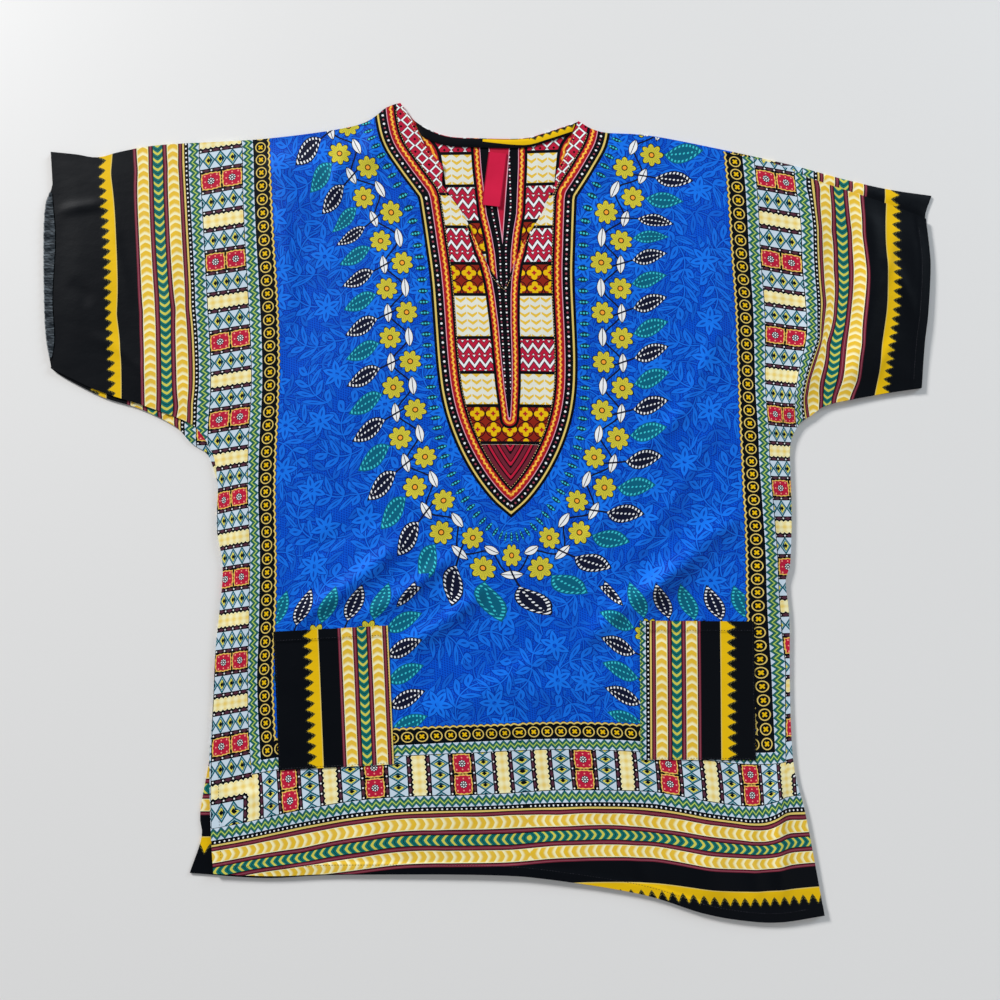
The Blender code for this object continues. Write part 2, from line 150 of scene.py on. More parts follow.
Patch = namedtuple("Patch", "name x y lean")
POCKET_LEFT = Patch("pocket_left", -184, -204.5, 1.2)
POCKET_RIGHT = Patch("pocket_right", 209, -209.5, -2.2)
LABEL = Patch("neck_label", 8.5, 365, -9.0)
LABEL_CURL = 1.0  # how far its free end lifts

# ---------------- finer creases, which only the thin cloth shows
CREASES = [Fold(*row) for row in (
    (-228, -122, -104, -36, -6, 1.3, 8), (-150, -118, -48, -52, -5, 1.2, 7),
    (-112, -154, -20, -94, -5, 1.2, 7), (150, -124, 268, -20, 8, 1.5, 9), (84, -160, 216, -66, 6, 1.2, 8),
    (134, -75, 248, 95, -8, 1.8, 10), (182, 60, 253, 192, -4, 1.5, 8), (-83, -225, 63, -155, -6, 1.8, 12),
    (-207, -50, -124, -8, 3, -1.5, 10), (-230, 350, -225, 201, 4, 1.7, 10),
    (-200, 300, -150, 210, 6, 1.0, 9), (180, 300, 150, 200, -5, 1.1, 9), (-225, 80, -170, 20, 4, 1.1, 7),
    (150, 40, 215, 96, 4, 1.3, 8), (-130, 20, -60, -20, 4, 1.1, 7), (80, -60, 150, 6, 5, 1.3, 8),
    (-245, 395, -200, 300, 5, 1.3, 8), (-150, 420, -175, 340, -4, 1.4, 8), (150, 395, 190, 300, 5, 1.3, 8),
    (-420, 330, -400, 240, -3, 0.8, 7), (-440, 200, -380, 150, 5, 1.1, 6),
    (-350, 330, -365, 200, 3, 0.8, 8), (440, 260, 470, 190, 5, 1.4, 7), (400, 260, 408, 170, 6, -1.3, 6),
    (450, 170, 420, 120, -4, 1.4, 6), (455, 300, 425, 215, 5, 1.3, 6), (-300, -300, -200, -330, 4, 1.0, 6),
    (-90, -330, -60, -395, 3, 1.0, 7), (130, -330, 150, -420, -4, 1.3, 8),
    (250, -320, 262, -430, 3, 1.4, 7), (-300, 90, -310, -60, 3, 1.0, 6), (300, 20, 312, -100, -3, 1.3, 6),
    (-30, -240, 60, -262, 3, 1.0, 7),
)]

CLOTH = 0.7  # thickness of the cloth that shows
LEAF_REACH = 17.0  # of the ground's paired leaves, out from their stem
PETAL_REACH = 17.0  # of its flowers
TURNING_LIFT = 0.35  # of the crumpled cuff turning, for each of its two ripples
TURNING_LEAST = 1.6  # it is left out where it would be narrower
MAP_SCALE = 0.01  # print coordinates are kept in hundreds of millimetres
BAKE_SPAN = 1040.0  # width of cloth that a panel's baking map covers
BAKE_SHARE = 0.98  # of its baking map, that a small piece fills
BAKE_MARGIN = 0.01
CELL = 8.0  # spacing of the front's points, before each triangle is split in four
FINE_SHARE = 0.6  # of that spacing round the neck
BACK_CELL = 12.0
PATCH_CELL = 4.0
RIBBON_CELL = 2.5
TURNING_CELL = 2.0
LABEL_CELL = 1.5


def smooth(value):
    value = np.clip(value, 0.0, 1.0)
    return value * value * (3 - 2 * value)


def curve_through(corners, step):
    """Points about a step apart on a smooth curve through the corners, without the last corner."""
    corners = [np.array(corner, float) for corner in corners]
    padded = [2 * corners[0] - corners[1]] + corners + [2 * corners[-1] - corners[-2]]
    points = []
    for before, here, after, beyond in zip(padded, padded[1:], padded[2:], padded[3:]):
        steps = max(1, round(np.hypot(*(after - here)) / step))
        for t in np.arange(steps) / steps:
            points.append(
                0.5 * (2 * here + (after - before) * t
                       + (2 * before - 5 * here + 4 * after - beyond) * t ** 2
                       + (3 * here - before - 3 * after + beyond) * t ** 3)
            )
    return points


def seams(*stops):
    """Points along bowed edges end to end: a corner, the bows to the next corner, and so on.

    The last corner is left out."""
    points = []
    for start, rows, end in zip(stops[::2], stops[1::2], stops[2::2]):
        start, end = np.array(start, float), np.array(end, float)
        run = end - start
        out = np.array((-run[1], run[0])) / np.hypot(*run)
        through = [start + run * (bow.along / 100) + out * bow.out for bow in rows]
        points += curve_through([start, *through, end], EDGE_STEP)
    return points


STRAIGHT = ()
# The front's neck and slit, from the left neck point to the right one
NECK_EDGE = seams(
    NECK_LEFT, NECK_EDGE_LEFT, NECKLINE_END_LEFT, STRAIGHT, SLIT_TOP_LEFT, SLIT_EDGE_LEFT, SLIT_BOTTOM,
    SLIT_EDGE_RIGHT, SLIT_TOP_RIGHT, STRAIGHT, NECKLINE_END_RIGHT, NECK_EDGE_RIGHT, NECK_RIGHT,
)
FRONT_EDGE = np.array(seams(LEFT_CUFF_TOP, LEFT_SHOULDER, NECK_LEFT) + NECK_EDGE + seams(
    NECK_RIGHT, FRONT_RIGHT_SHOULDER, FRONT_RIGHT_CUFF, FRONT_RIGHT_CUFF_EDGE, RIGHT_CUFF_END,
    RIGHT_UNDERARM, RIGHT_ARMPIT, RIGHT_SIDE, RIGHT_HEM, FRONT_HEM, FRONT_LEFT_HEM, FRONT_VENT_EDGE,
    FRONT_LEFT_VENT, LEFT_SIDE, LEFT_ARMPIT, FRONT_LEFT_UNDERARM, LEFT_CUFF_END, FRONT_LEFT_CUFF,
    LEFT_CUFF_TOP,
))
BACK_EDGE = np.array(seams(
    LEFT_CUFF_TOP, LEFT_SHOULDER, NECK_LEFT, BACK_NECK, NECK_RIGHT, RIGHT_SHOULDER, RIGHT_CUFF_TOP,
    RIGHT_CUFF, RIGHT_CUFF_END, RIGHT_UNDERARM, RIGHT_ARMPIT, RIGHT_SIDE, RIGHT_HEM, HEM, LEFT_HEM,
    LEFT_SIDE_BELOW_VENT, FRONT_LEFT_VENT, LEFT_SIDE, LEFT_ARMPIT, LEFT_UNDERARM, LEFT_CUFF_END, LEFT_CUFF,
    LEFT_CUFF_TOP,
))


def inside(points, outline):
    """For each point, whether it lies within the closed outline."""
    held = np.zeros(len(points), bool)
    for a, b in zip(outline, np.roll(outline, -1, axis=0)):
        if a[1] == b[1]:
            continue
        crosses = (a[1] > points[:, 1]) != (b[1] > points[:, 1])
        at = a[0] + (points[:, 1] - a[1]) * (b[0] - a[0]) / (b[1] - a[1])
        held ^= crosses & (points[:, 0] < at)
    return held


def along_path(points, path):
    """For each point, its distance from the open path, how far along it, and which side (1 is left)."""
    best = np.full(len(points), np.inf)
    run_at = np.zeros(len(points))
    side = np.ones(len(points))
    gone = 0.0
    for a, b in zip(path[:-1], path[1:]):
        run = b - a
        length = max(np.hypot(*run), 1e-9)
        off = points - a
        t = np.clip(off @ run / length ** 2, 0, 1)
        away = np.hypot(*(off - t[:, None] * run).T)
        nearer = away < best
        best[nearer] = away[nearer]
        run_at[nearer] = gone + t[nearer] * length
        side[nearer] = np.sign(run[0] * off[nearer, 1] - run[1] * off[nearer, 0])
        gone += length
    return best, run_at, side


def to_edge(points, outline):
    """For each point, its distance from the closed outline."""
    return along_path(points, np.vstack([outline, outline[:1]]))[0]


def fold_heights(points, folds):
    """Sum of the folds at each point: bells across their bowed lines, dying away at both ends."""
    height = np.zeros(len(points))
    for fold in folds:
        run = np.array((fold.x1 - fold.x0, fold.y1 - fold.y0))
        out = np.array((-run[1], run[0])) / np.hypot(*run)
        off = points - np.array((fold.x0, fold.y0))
        along = off @ run / (run @ run)
        across = off @ out - fold.bow * 4 * along * (1 - along)
        ends = smooth((along + FOLD_RUN_OUT) / FOLD_END) * smooth((1 + FOLD_RUN_OUT - along) / FOLD_END)
        height += fold.height * ends * np.exp(-((across / fold.width) ** 2))
    return height


def front_lift(points):
    """How far the front's cloth stands above its lowest place."""
    swell = sum(
        s.height * (1 + np.sin(s.along_x * points[:, 0] + s.along_y * points[:, 1] + s.shift))
        for s in SWELLS
    )
    share = SEAM_SHARE + (1 - SEAM_SHARE) * smooth(to_edge(points, FRONT_EDGE) / EDGE_SETTLE)
    return np.maximum(0.0, (swell + fold_heights(points, FOLDS)) * share)


# ---------------- where the print lies on the garment
# The print's bands, outward from the edge of its blue field, and their widths on the flat cloth
BLUE_HALF = 255.6
BLUE_FOOT = -238.5
Band = namedtuple("Band", "name start end")
CHAIN = Band("chain", 0.0, 20.5)
ZIGZAG_IN = Band("zigzag", 20.5, 33.5)
LADDER = Band("ladder", 33.5, 77.5)
ZIGZAG_OUT = Band("zigzag", 77.5, 90.5)
STRIPES = Band("stripes", 90.5, 153.5)
BORDER = Band("border", 153.5, 300.0)
BANDS = (CHAIN, ZIGZAG_IN, LADDER, ZIGZAG_OUT, STRIPES, BORDER)
LADDER_REPEAT = 88.9
LADDER_SHIFT = 303.7  # brings a red block to v = -237 on the side bands

# Upright lines of the print: at height v, the x where each line u lies
Upright = namedtuple("Upright", "v places")
UPRIGHTS = [Upright(*row) for row in (
    (409, {-453: -439, -431: -422, -404: -391, -386: -375, -370: -358, -357: -347, -346: -335, -333: -323,
        -289: -274, -255.6: -242}),
    (251, {-453: -432, -431: -416, -404: -386, -386: -368, -370: -350, -357: -340, -346: -329, -333: -315,
        -289: -270, -255.6: -236}),
    (141, {-453: -429, -431: -412, -404: -385, -386: -368, -370: -348, -357: -339, -346: -328, -333: -313,
        -289: -268, -255.6: -236}),
    (83, {-363: -345, -350.5: -334, -333: -315}),
    (52, {-350.5: -321, -333: -309}),
    (30, {-311: -292}),
    (-85, {-311: -291, -276: -262, -255.6: -243, 0: 13, 255.6: 266}),
    (-171, {-311: -294, -276: -266, -255.6: -248, 255.6: 263, 289: 306}),
    (-262, {-276: -263}),
    (-290, {-340: -325, -296: -278, -244.5: -234, -155.6: -142, -66.7: -47, 22.2: 38, 111: 129, 200: 220,
        244.5: 262, 296: 306}),
    (-360, {-296: -280, -150: -134, 0: 22, 150: 169, 250: 267, 296: 307}),
    (440, {0: 9, 120: 128}),
    (250, {-80: -67, 0: 13, 80: 94}),
    (80, {-80: -63, 0: 16, 80: 94}),
    (424, {255.6: 266, 276: 287}),
    (385, {289: 302, 333: 346, 346: 358, 357: 374, 370: 384, 386: 399, 404: 417, 431: 447, 453: 467}),
    (340, {357: 373, 370: 383, 386: 401, 404: 416}),
    (297, {311: 325, 357: 372, 370: 383, 386: 400, 404: 418, 431: 442, 453: 462}),
    (254, {346: 362, 357: 373, 370: 381, 386: 395, 404: 413, 431: 439}),
    (208, {255.6: 270, 289: 303, 333: 347, 346: 360, 357: 365, 370: 370, 386: 386, 404: 407, 431: 431,
        453: 450}),
    (160, {346: 343, 357: 349, 370: 360, 386: 378, 404: 400, 431: 424, 453: 443}),
    (138, {346: 339, 357: 345, 370: 359, 386: 372, 404: 392}),
    (100, {255.6: 268, 289: 301}),
    (20, {255.6: 268, 289: 301}),
    (-50, {289: 303}),
)]
# Level lines of the print: at u, the y where each line v lies
Level = namedtuple("Level", "u places")
LEVELS = [Level(*row) for row in (
    (-430, {385: 361, 208: 180}),
    (-333, {385: 371, 208: 188, 30: 12, -148: -164, -328: -351}),
    (-311, {385: 375, 296: 281, 208: 192, 119: 104, 30: 15, -59: -72, -148: -162, -237: -251}),
    (-289, {385: 378, 208: 195, 30: 18, -148: -160, -269.8: -281, -328: -344, -343: -359, -360: -374}),
    (-235, {-328: -335, -343: -351, -360: -369, -377: -383}),
    (-180, {-328: -327, -343: -343, -360: -360, -377: -377}),
    (-128, {-238.5: -238.5, -269.8: -267, -328: -323.5, -343: -338, -360: -355, -377: -372}),
    (-74, {-238.5: -237.5, -269.8: -266, -328: -324, -343: -337.5, -360: -356, -377: -373}),
    (-20, {-238.5: -237.5, -269.8: -265.5, -328: -324, -343: -338, -360: -356.5, -377: -374}),
    (0, {440: 430, 250: 242, 170: 164, 0: -3, -100: -102}),
    (34, {-238.5: -237.5, -269.8: -265.5, -328: -323, -343: -339.5, -360: -354.5, -377: -371}),
    (86, {-238.5: -239.5, -269.8: -268, -328: -324.5, -343: -340, -360: -355, -377: -372}),
    (138, {-328: -328, -343: -345, -360: -360.5, -377: -375.5}),
    (190, {-328: -338.5, -343: -354, -360: -369.5, -377: -386}),
    (243, {-328: -346.5, -343: -362, -360: -376.5, -377: -391}),
    (263, {-328: -345.5, -343: -362, -360: -376.5, -377: -391}),
    (284, {-269.8: -288, -328: -337.5, -343: -354, -360: -371, -377: -387}),
    (302, {-328: -336.5, -343: -354, -360: -370, -377: -386}),
    (289, {385: 357, 296: 265, 208: 179, 119: 90}),
    (311, {385: 352, 296: 260, 208: 175, 119: 87, 30: 6, -59: -80, -148: -165, -237: -250}),
    (333, {385: 347, 296: 255, 208: 171, 119: 86}),
    (430, {385: 327, 208: 160, 119: 86}),
)]
FLAT_SCALE = 300.0
GIVE = 2e-4  # how far the fit may leave the known places, to stay smooth
AT_ONCE = 20000  # points that are laid in one go
STEPS_BACK = 12  # from a place on the floor to its place on the flat print
LONGEST_STEP = 40.0
LEAST_TURN = 0.15  # keeps those steps steady where the cloth is drawn together


class Laid:
    """A smooth map from the flat print to one coordinate on the floor, through known places."""

    def __init__(self, rows):
        self.places = np.array([row[:2] for row in rows]) / FLAT_SCALE
        count = len(rows)
        system = np.zeros((count + 3, count + 3))
        system[:count, :count] = self.bend(self.places) + GIVE * np.eye(count)
        plane = np.column_stack([np.ones(count), self.places])
        system[:count, count:] = plane
        system[count:, :count] = plane.T
        known = np.concatenate([[row[2] for row in rows], np.zeros(3)])
        self.pull = np.linalg.solve(system, known)

    def bend(self, at):
        square = ((at[:, None, :] - self.places[None]) ** 2).sum(2)
        return square * np.log(square + 1e-12) / 2

    def __call__(self, flat):
        at = flat / FLAT_SCALE
        found = np.empty(len(at))
        for start in range(0, len(at), AT_ONCE):
            part = slice(start, start + AT_ONCE)
            found[part] = self.bend(at[part]) @ self.pull[:-3]
        return found + self.pull[-3] + at @ self.pull[-2:]


# Where the back's print lies: known places of the print, and where they are on the floor
Pin = namedtuple("Pin", "u v x y")
BACK_PINS = [Pin(*row) for row in (
    (-500, 350, -497, 410), (-500, 200, -497, 262), (-340, 5, -337, 65), (-340, -331, -337, -264),
    (-340, -426, -337, -359), (-256, 350, -250, 398), (0, 390, 15, 430), (0, 200, 15, 242), (0, 0, 12, 48),
    (0, -300, 8, -244), (256, 335, 276, 376), (346, 318, 368, 359), (409, 300, 427, 339),
    (453, 292, 466, 330), (477, 285, 488, 322), (480, 60, 468, 90), (340, 0, 322, 44),
    (340, -331, 335, -285), (340, -426, 335, -378),
)]


class Spread:
    """How one piece of printed cloth lies: from its flat print to the floor and back."""

    def __init__(self, across, up):
        self.across = Laid(across)
        self.up = Laid(up)

    def lay(self, flat):
        """Where points of the print lie on the floor."""
        return np.column_stack([self.across(flat), self.up(flat)])

    def unlay(self, floor):
        """Where points on the floor lie on the print."""
        flat = floor.copy()
        step = 0.5
        for _ in range(STEPS_BACK):
            here = self.lay(flat)
            to_u = (self.lay(flat + (step, 0)) - here) / step
            to_v = (self.lay(flat + (0, step)) - here) / step
            off = floor - here
            turn = to_u[:, 0] * to_v[:, 1] - to_v[:, 0] * to_u[:, 1]
            turn = np.where(np.abs(turn) < LEAST_TURN, LEAST_TURN, turn)
            move = np.column_stack([
                (off[:, 0] * to_v[:, 1] - off[:, 1] * to_v[:, 0]) / turn,
                (off[:, 1] * to_u[:, 0] - off[:, 0] * to_u[:, 1]) / turn,
            ])
            flat += np.clip(move, -LONGEST_STEP, LONGEST_STEP)
        return flat


FRONT_SPREAD = Spread(
    [(u, row.v, x) for row in UPRIGHTS for u, x in row.places.items()],
    [(row.u, v, y) for row in LEVELS for v, y in row.places.items()],
)
BACK_SPREAD = Spread(
    [(pin.u, pin.v, pin.x) for pin in BACK_PINS],
    [(pin.u, pin.v, pin.y) for pin in BACK_PINS],
)


# ---------------- the print's layout
def rounded(corners, step=5.0):
    """Points on a smooth curve through the corners."""
    return np.array(curve_through(corners, step) + [np.array(corners[-1], float)])


def mirrored(half):
    """The whole of a symmetric line, from its right half that starts on the middle."""
    half = np.array(half, float)
    return np.vstack([half[:0:-1] * (-1, 1), half])


def offset_line(line, out):
    """The line moved to its right."""
    along = np.gradient(line, axis=0)
    along /= np.hypot(*along.T)[:, None]
    return line + np.column_stack([along[:, 1], -along[:, 0]]) * out


# The neck panel's outer edge, from its right half
PANEL_EDGE = mirrored(np.vstack([
    rounded([(0, -14), (22, 6), (44, 36), (62, 72), (74, 112), (79, 160), (80, 250), (84, 300), (89, 348)]),
    rounded([(90, 352), (110, 381), (127, 410), (134, 440), (136, 480)]),
]))
# The line that the garland round the neck follows, how far out from it the garland reaches, and its area
GARLAND_LINE = rounded(mirrored([
    (0, -66), (30, -58), (62, -30), (90, 14), (108, 66), (117, 130), (119, 200), (121, 270), (129, 325),
    (150, 372), (172, 420), (184, 480),
]), step=1.5)
GARLAND_OUT = 70.0
OVER_THE_TOP = (0, 900)  # a point past the print's top, which closes an area that is open there
GARLAND_AREA = np.vstack([offset_line(GARLAND_LINE, GARLAND_OUT), [OVER_THE_TOP]])
BRACKET = 96.0  # how far the corner garlands run from the bands beside them
BRACKET_START = 38.0  # how far into its repeat a corner garland begins, for a blossom in its corner
# The edge of the black strip down the middle of the neck panel. On the front its upper part falls inside
# the slit, and on the back it shows whole
STRIP_FOOT = [(0, 97), (3.4, 135), (5, 168), (6, 207), (8, 240)]
FRONT_STRIP = mirrored(STRIP_FOOT + [(10, 258), (13.5, 276), (19, 292), (23, 310), (24, 520)])
BACK_STRIP = mirrored(STRIP_FOOT + [(11, 262), (15.5, 285), (19.4, 340), (22, 420), (24, 520)])
RING_MIDDLE = 12.2  # of the chain's rings, from the blue

REGIONS = (
    "blue", "garland", "neck_panel", "chain", "zigzag", "ladder", "ladder_corner", "stripes", "border",
)
KIND = {name: index for index, name in enumerate(REGIONS)}


def print_lines(cell):
    """The lines on the flat cloth along which the print changes, cut into steps of about a cell."""
    top, lines = 500.0, []
    for out in sorted({band.start for band in BANDS}):
        wide, low = BLUE_HALF + out, BLUE_FOOT - out
        lines.append([(-wide, top), (-wide, low), (wide, low), (wide, top)])
    near, wide, far = BLUE_HALF + LADDER.start, BLUE_HALF + LADDER.end, BLUE_HALF + BORDER.end
    high, low, foot = BLUE_FOOT - LADDER.start, BLUE_FOOT - LADDER.end, BLUE_FOOT - BORDER.end
    reach = BRACKET + GARLAND_OUT
    inner, upper = BLUE_HALF - reach, BLUE_FOOT + reach
    for side in (-1, 1):
        for line in (
            [(BLUE_HALF, BLUE_FOOT), (near, high)], [(wide, low), (far, foot)], [(near, high), (near, low)],
            [(near, high), (wide, high)], [(BLUE_HALF, upper), (inner, upper), (inner, BLUE_FOOT)],
            [(BLUE_HALF, BLUE_FOOT), (inner, upper)],
        ):
            lines.append([(side * x, y) for x, y in line])
    lines += [PANEL_EDGE, offset_line(GARLAND_LINE, GARLAND_OUT)]
    return [resampled(np.array(line, float), cell) for line in lines]


def resampled(line, step):
    """The line cut into steps of about this length, with its own corners kept."""
    points = []
    for a, b in zip(line[:-1], line[1:]):
        steps = max(1, round(np.hypot(*(b - a)) / step))
        points += [a + (b - a) * (i / steps) for i in range(steps)]
    return np.array(points + [line[-1]])


def mark_bands(kinds, out):
    """Sets the kinds of the points that lie in a band, from how far out of the blue field each is."""
    for band in BANDS:
        kinds[(out >= band.start) & (out < band.end)] = KIND[band.name]


def kinds_of(at):
    """Which region of the print each point on the flat cloth lies in."""
    side, foot = np.abs(at[:, 0]) - BLUE_HALF, BLUE_FOOT - at[:, 1]
    out = np.maximum(side, foot)
    kinds = np.full(len(at), KIND["blue"])
    bracket = np.maximum(-side, -foot) < BRACKET + GARLAND_OUT
    kinds[inside(at, GARLAND_AREA) | bracket] = KIND["garland"]
    kinds[inside(at, np.vstack([PANEL_EDGE, [OVER_THE_TOP]]))] = KIND["neck_panel"]
    mark_bands(kinds, out)
    boxed = (np.minimum(side, foot) > LADDER.start) & (out < LADDER.end)
    kinds[boxed] = KIND["ladder_corner"]
    return kinds


def band_places(flat, kinds, middles):
    """Along and out from the blue field in the bands, and the place on the print elsewhere."""
    place = flat.copy()
    upright, level = flat[:, 1] + LADDER_SHIFT, np.abs(flat[:, 0])
    side, foot = level - BLUE_HALF, BLUE_FOOT - flat[:, 1]
    middle_side, middle_foot = np.abs(middles[:, 0]) - BLUE_HALF, BLUE_FOOT - middles[:, 1]
    # rings and zigzags are counted from the corner, and what is outside them points to the hem's middle
    band = np.maximum(middle_side, middle_foot)
    from_corner = np.select(
        [kinds == KIND["chain"], band < LADDER.start, band < STRIPES.start],
        [RING_MIDDLE, (ZIGZAG_IN.start + ZIGZAG_IN.end) / 2, (ZIGZAG_OUT.start + ZIGZAG_OUT.end) / 2],
    )
    counted = np.isin(kinds, [KIND["chain"], KIND["zigzag"]])
    upright[counted] = (from_corner - foot)[counted]
    level[counted] = (side - from_corner)[counted]
    level[np.isin(kinds, [KIND["stripes"], KIND["border"]])] *= -1
    banded = ~np.isin(kinds, [KIND["blue"], KIND["garland"], KIND["neck_panel"]])
    beside = banded & (middle_side > middle_foot)
    below = banded & ~beside
    place[beside] = np.column_stack([upright, side])[beside]
    place[below] = np.column_stack([level, foot])[below]
    boxed = kinds == KIND["ladder_corner"]
    place[boxed] = np.column_stack([side, foot])[boxed]
    return place


def garland_path(flat, middles):
    """Along and out from the line of the garland round the neck or in a corner."""
    away, run, left = along_path(flat, GARLAND_LINE)
    half = np.hypot(*np.diff(GARLAND_LINE, axis=0).T).sum() / 2
    path = np.column_stack([run - half, -left * away])
    side, foot = np.abs(flat[:, 0]) - BLUE_HALF, BLUE_FOOT - flat[:, 1]
    in_side, in_foot = BLUE_HALF - np.abs(middles[:, 0]), middles[:, 1] - BLUE_FOOT
    cornered = np.maximum(in_side, in_foot) < BRACKET + GARLAND_OUT
    upper = cornered & (in_foot > in_side)
    path[cornered] = np.column_stack([BRACKET_START - foot, -side - BRACKET])[cornered]
    path[upper] = np.column_stack([BRACKET_START - side, -foot - BRACKET])[upper]
    return path


def coordinates(flat, kinds, middles, strip=FRONT_STRIP):
    """UV maps of face corners: their place on the print, and along and across the line a motif follows.

    flat is each corner's place on the cloth, with the region and the middle of the face that it is in."""
    path, slit = np.zeros_like(flat), np.zeros_like(flat)
    panel, garland_part = kinds == KIND["neck_panel"], kinds == KIND["garland"]
    away, run, _ = along_path(flat[panel], PANEL_EDGE)
    path[panel] = np.column_stack([run, away])
    away, run, _ = along_path(flat[panel], strip)
    away[inside(flat[panel], strip)] *= -1
    slit[panel] = np.column_stack([run, away])
    path[garland_part] = garland_path(flat[garland_part], middles[garland_part])
    return {
        "Print": band_places(flat, kinds, middles) * MAP_SCALE,
        "Path": path * MAP_SCALE,
        "Slit": slit * MAP_SCALE,
        "OFBake": flat / BAKE_SPAN + 0.5,
    }


# ---------------- building cloth
ROW_SHARE = 0.87  # of a cell, between the rows of a staggered grid
CLEAR_SHARE = 0.42  # of a cell, between the grid's points and the lines
SHARP_ANGLE = 50  # in degrees: edges that bend more aren't shaded smooth


def doubled_areas(at, faces):
    """Twice each triangle's area, below 0 where it runs clockwise."""
    a, b, c = at[faces[:, 0]], at[faces[:, 1]], at[faces[:, 2]]
    return (b - a)[:, 0] * (c - a)[:, 1] - (b - a)[:, 1] * (c - a)[:, 0]


def triangulated(outline, lines, points):
    """Triangles that fill the closed outline, with edges along the lines and corners at the points."""
    corners, edges = [], []
    for line in lines:
        edges += [(len(corners) + i, len(corners) + i + 1) for i in range(len(line) - 1)]
        corners += [Vector(p) for p in line]
    first, count = len(corners), len(outline)
    edges += [(first + i, first + (i + 1) % count) for i in range(count)]
    corners += [Vector(p) for p in outline] + [Vector(p) for p in points]
    found = delaunay_2d_cdt(corners, edges, [], 0, 1e-3)
    at, faces = np.array([tuple(p) for p in found[0]]), np.array(found[2])
    faces = faces[inside(at[faces].mean(1), outline)]
    clockwise = doubled_areas(at, faces) < 0
    faces[clockwise] = faces[clockwise][:, ::-1]
    used, place = np.unique(faces, return_inverse=True)
    return at[used], place.reshape(faces.shape)


def staggered(low, high, cell):
    """Points of a grid whose rows are shifted by half a cell in turn."""
    rows = []
    for row, y in enumerate(np.arange(low[1], high[1], cell * ROW_SHARE)):
        xs = np.arange(low[0] + cell / 2 * (row % 2), high[0], cell)
        rows.append(np.column_stack([xs, np.full(len(xs), y)]))
    return np.vstack(rows)


def cells_inside(outline, lines, cell, fine=None):
    """Points of a staggered grid inside the outline and clear of the lines.

    fine is a share of the cell and the area where the points are that much closer together."""
    grids = [(cell, None)] if fine is None else [(cell, False), (cell * fine[0], True)]
    kept = []
    for spacing, wanted in grids:
        points = staggered(outline.min(0), outline.max(0), spacing)
        points = points[inside(points, outline)]
        if wanted is not None:
            points = points[inside(points, fine[1]) == wanted]
        for line in lines + [np.vstack([outline, outline[:1]])]:
            points = points[along_path(points, line)[0] > spacing * CLEAR_SHARE]
        kept.append(points)
    return np.vstack(kept)


def split(at, faces):
    """Each triangle cut into four: all the points, the new triangles, and the edges that were halved."""
    pairs = np.sort(np.vstack([faces[:, [0, 1]], faces[:, [1, 2]], faces[:, [2, 0]]]), axis=1)
    edges, place = np.unique(pairs, axis=0, return_inverse=True)
    middle = (len(at) + place.reshape(-1)).reshape(3, -1)
    ab, bc, ca = middle
    a, b, c = faces.T
    finer = np.vstack([
        np.column_stack([a, ab, ca]), np.column_stack([ab, b, bc]),
        np.column_stack([ca, bc, c]), np.column_stack([ab, bc, ca]),
    ])
    return np.vstack([at, at[edges].mean(1)]), finer, edges


def make_mesh(name, points, polygons, materials, kinds, maps):
    """A piece in metres, with a material index for each face and UV maps for each face corner."""
    mesh = bpy.data.meshes.new(name)
    sizes = np.array([len(p) for p in polygons])
    corners = np.concatenate([np.asarray(p, np.int32) for p in polygons])
    mesh.vertices.add(len(points))
    mesh.vertices.foreach_set("co", (np.asarray(points) * METRES).astype(np.float32).ravel())
    mesh.loops.add(len(corners))
    mesh.loops.foreach_set("vertex_index", corners.astype(np.int32))
    mesh.polygons.add(len(sizes))
    mesh.polygons.foreach_set("loop_start", (np.cumsum(sizes) - sizes).astype(np.int32))
    mesh.polygons.foreach_set("loop_total", sizes.astype(np.int32))
    for found in materials:
        mesh.materials.append(found)
    mesh.polygons.foreach_set("material_index", np.asarray(kinds, np.int32))
    mesh.update(calc_edges=True)
    for map_name, values in maps.items():
        layer = mesh.uv_layers.new(name=map_name, do_init=False)
        layer.uv.foreach_set("vector", np.asarray(values, np.float32).ravel())
    mesh.validate()
    mesh.shade_smooth()
    mesh.set_sharp_from_angle(angle=math.radians(SHARP_ANGLE))
    piece = bpy.data.objects.new(name, mesh)
    bpy.context.scene.collection.objects.link(piece)
    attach(piece, "root")
    return piece


def rims_of(faces, halves, low):
    """The side walls of a sheet, one for each edge of just one triangle, and that triangle's number."""
    owner = {}
    for index, face in enumerate(faces.tolist()):
        for a, b in zip(face, face[1:] + face[:1]):
            owner[(a, b)] = index
    rims, rim_owner = [], []
    for (a, b), index in owner.items():
        if (b, a) not in owner:
            middle = halves.get((min(a, b), max(a, b)))
            rims.append([a + low, b + low, b] + ([] if middle is None else [middle]) + [a])
            rim_owner.append(index)
    return rims, rim_owner


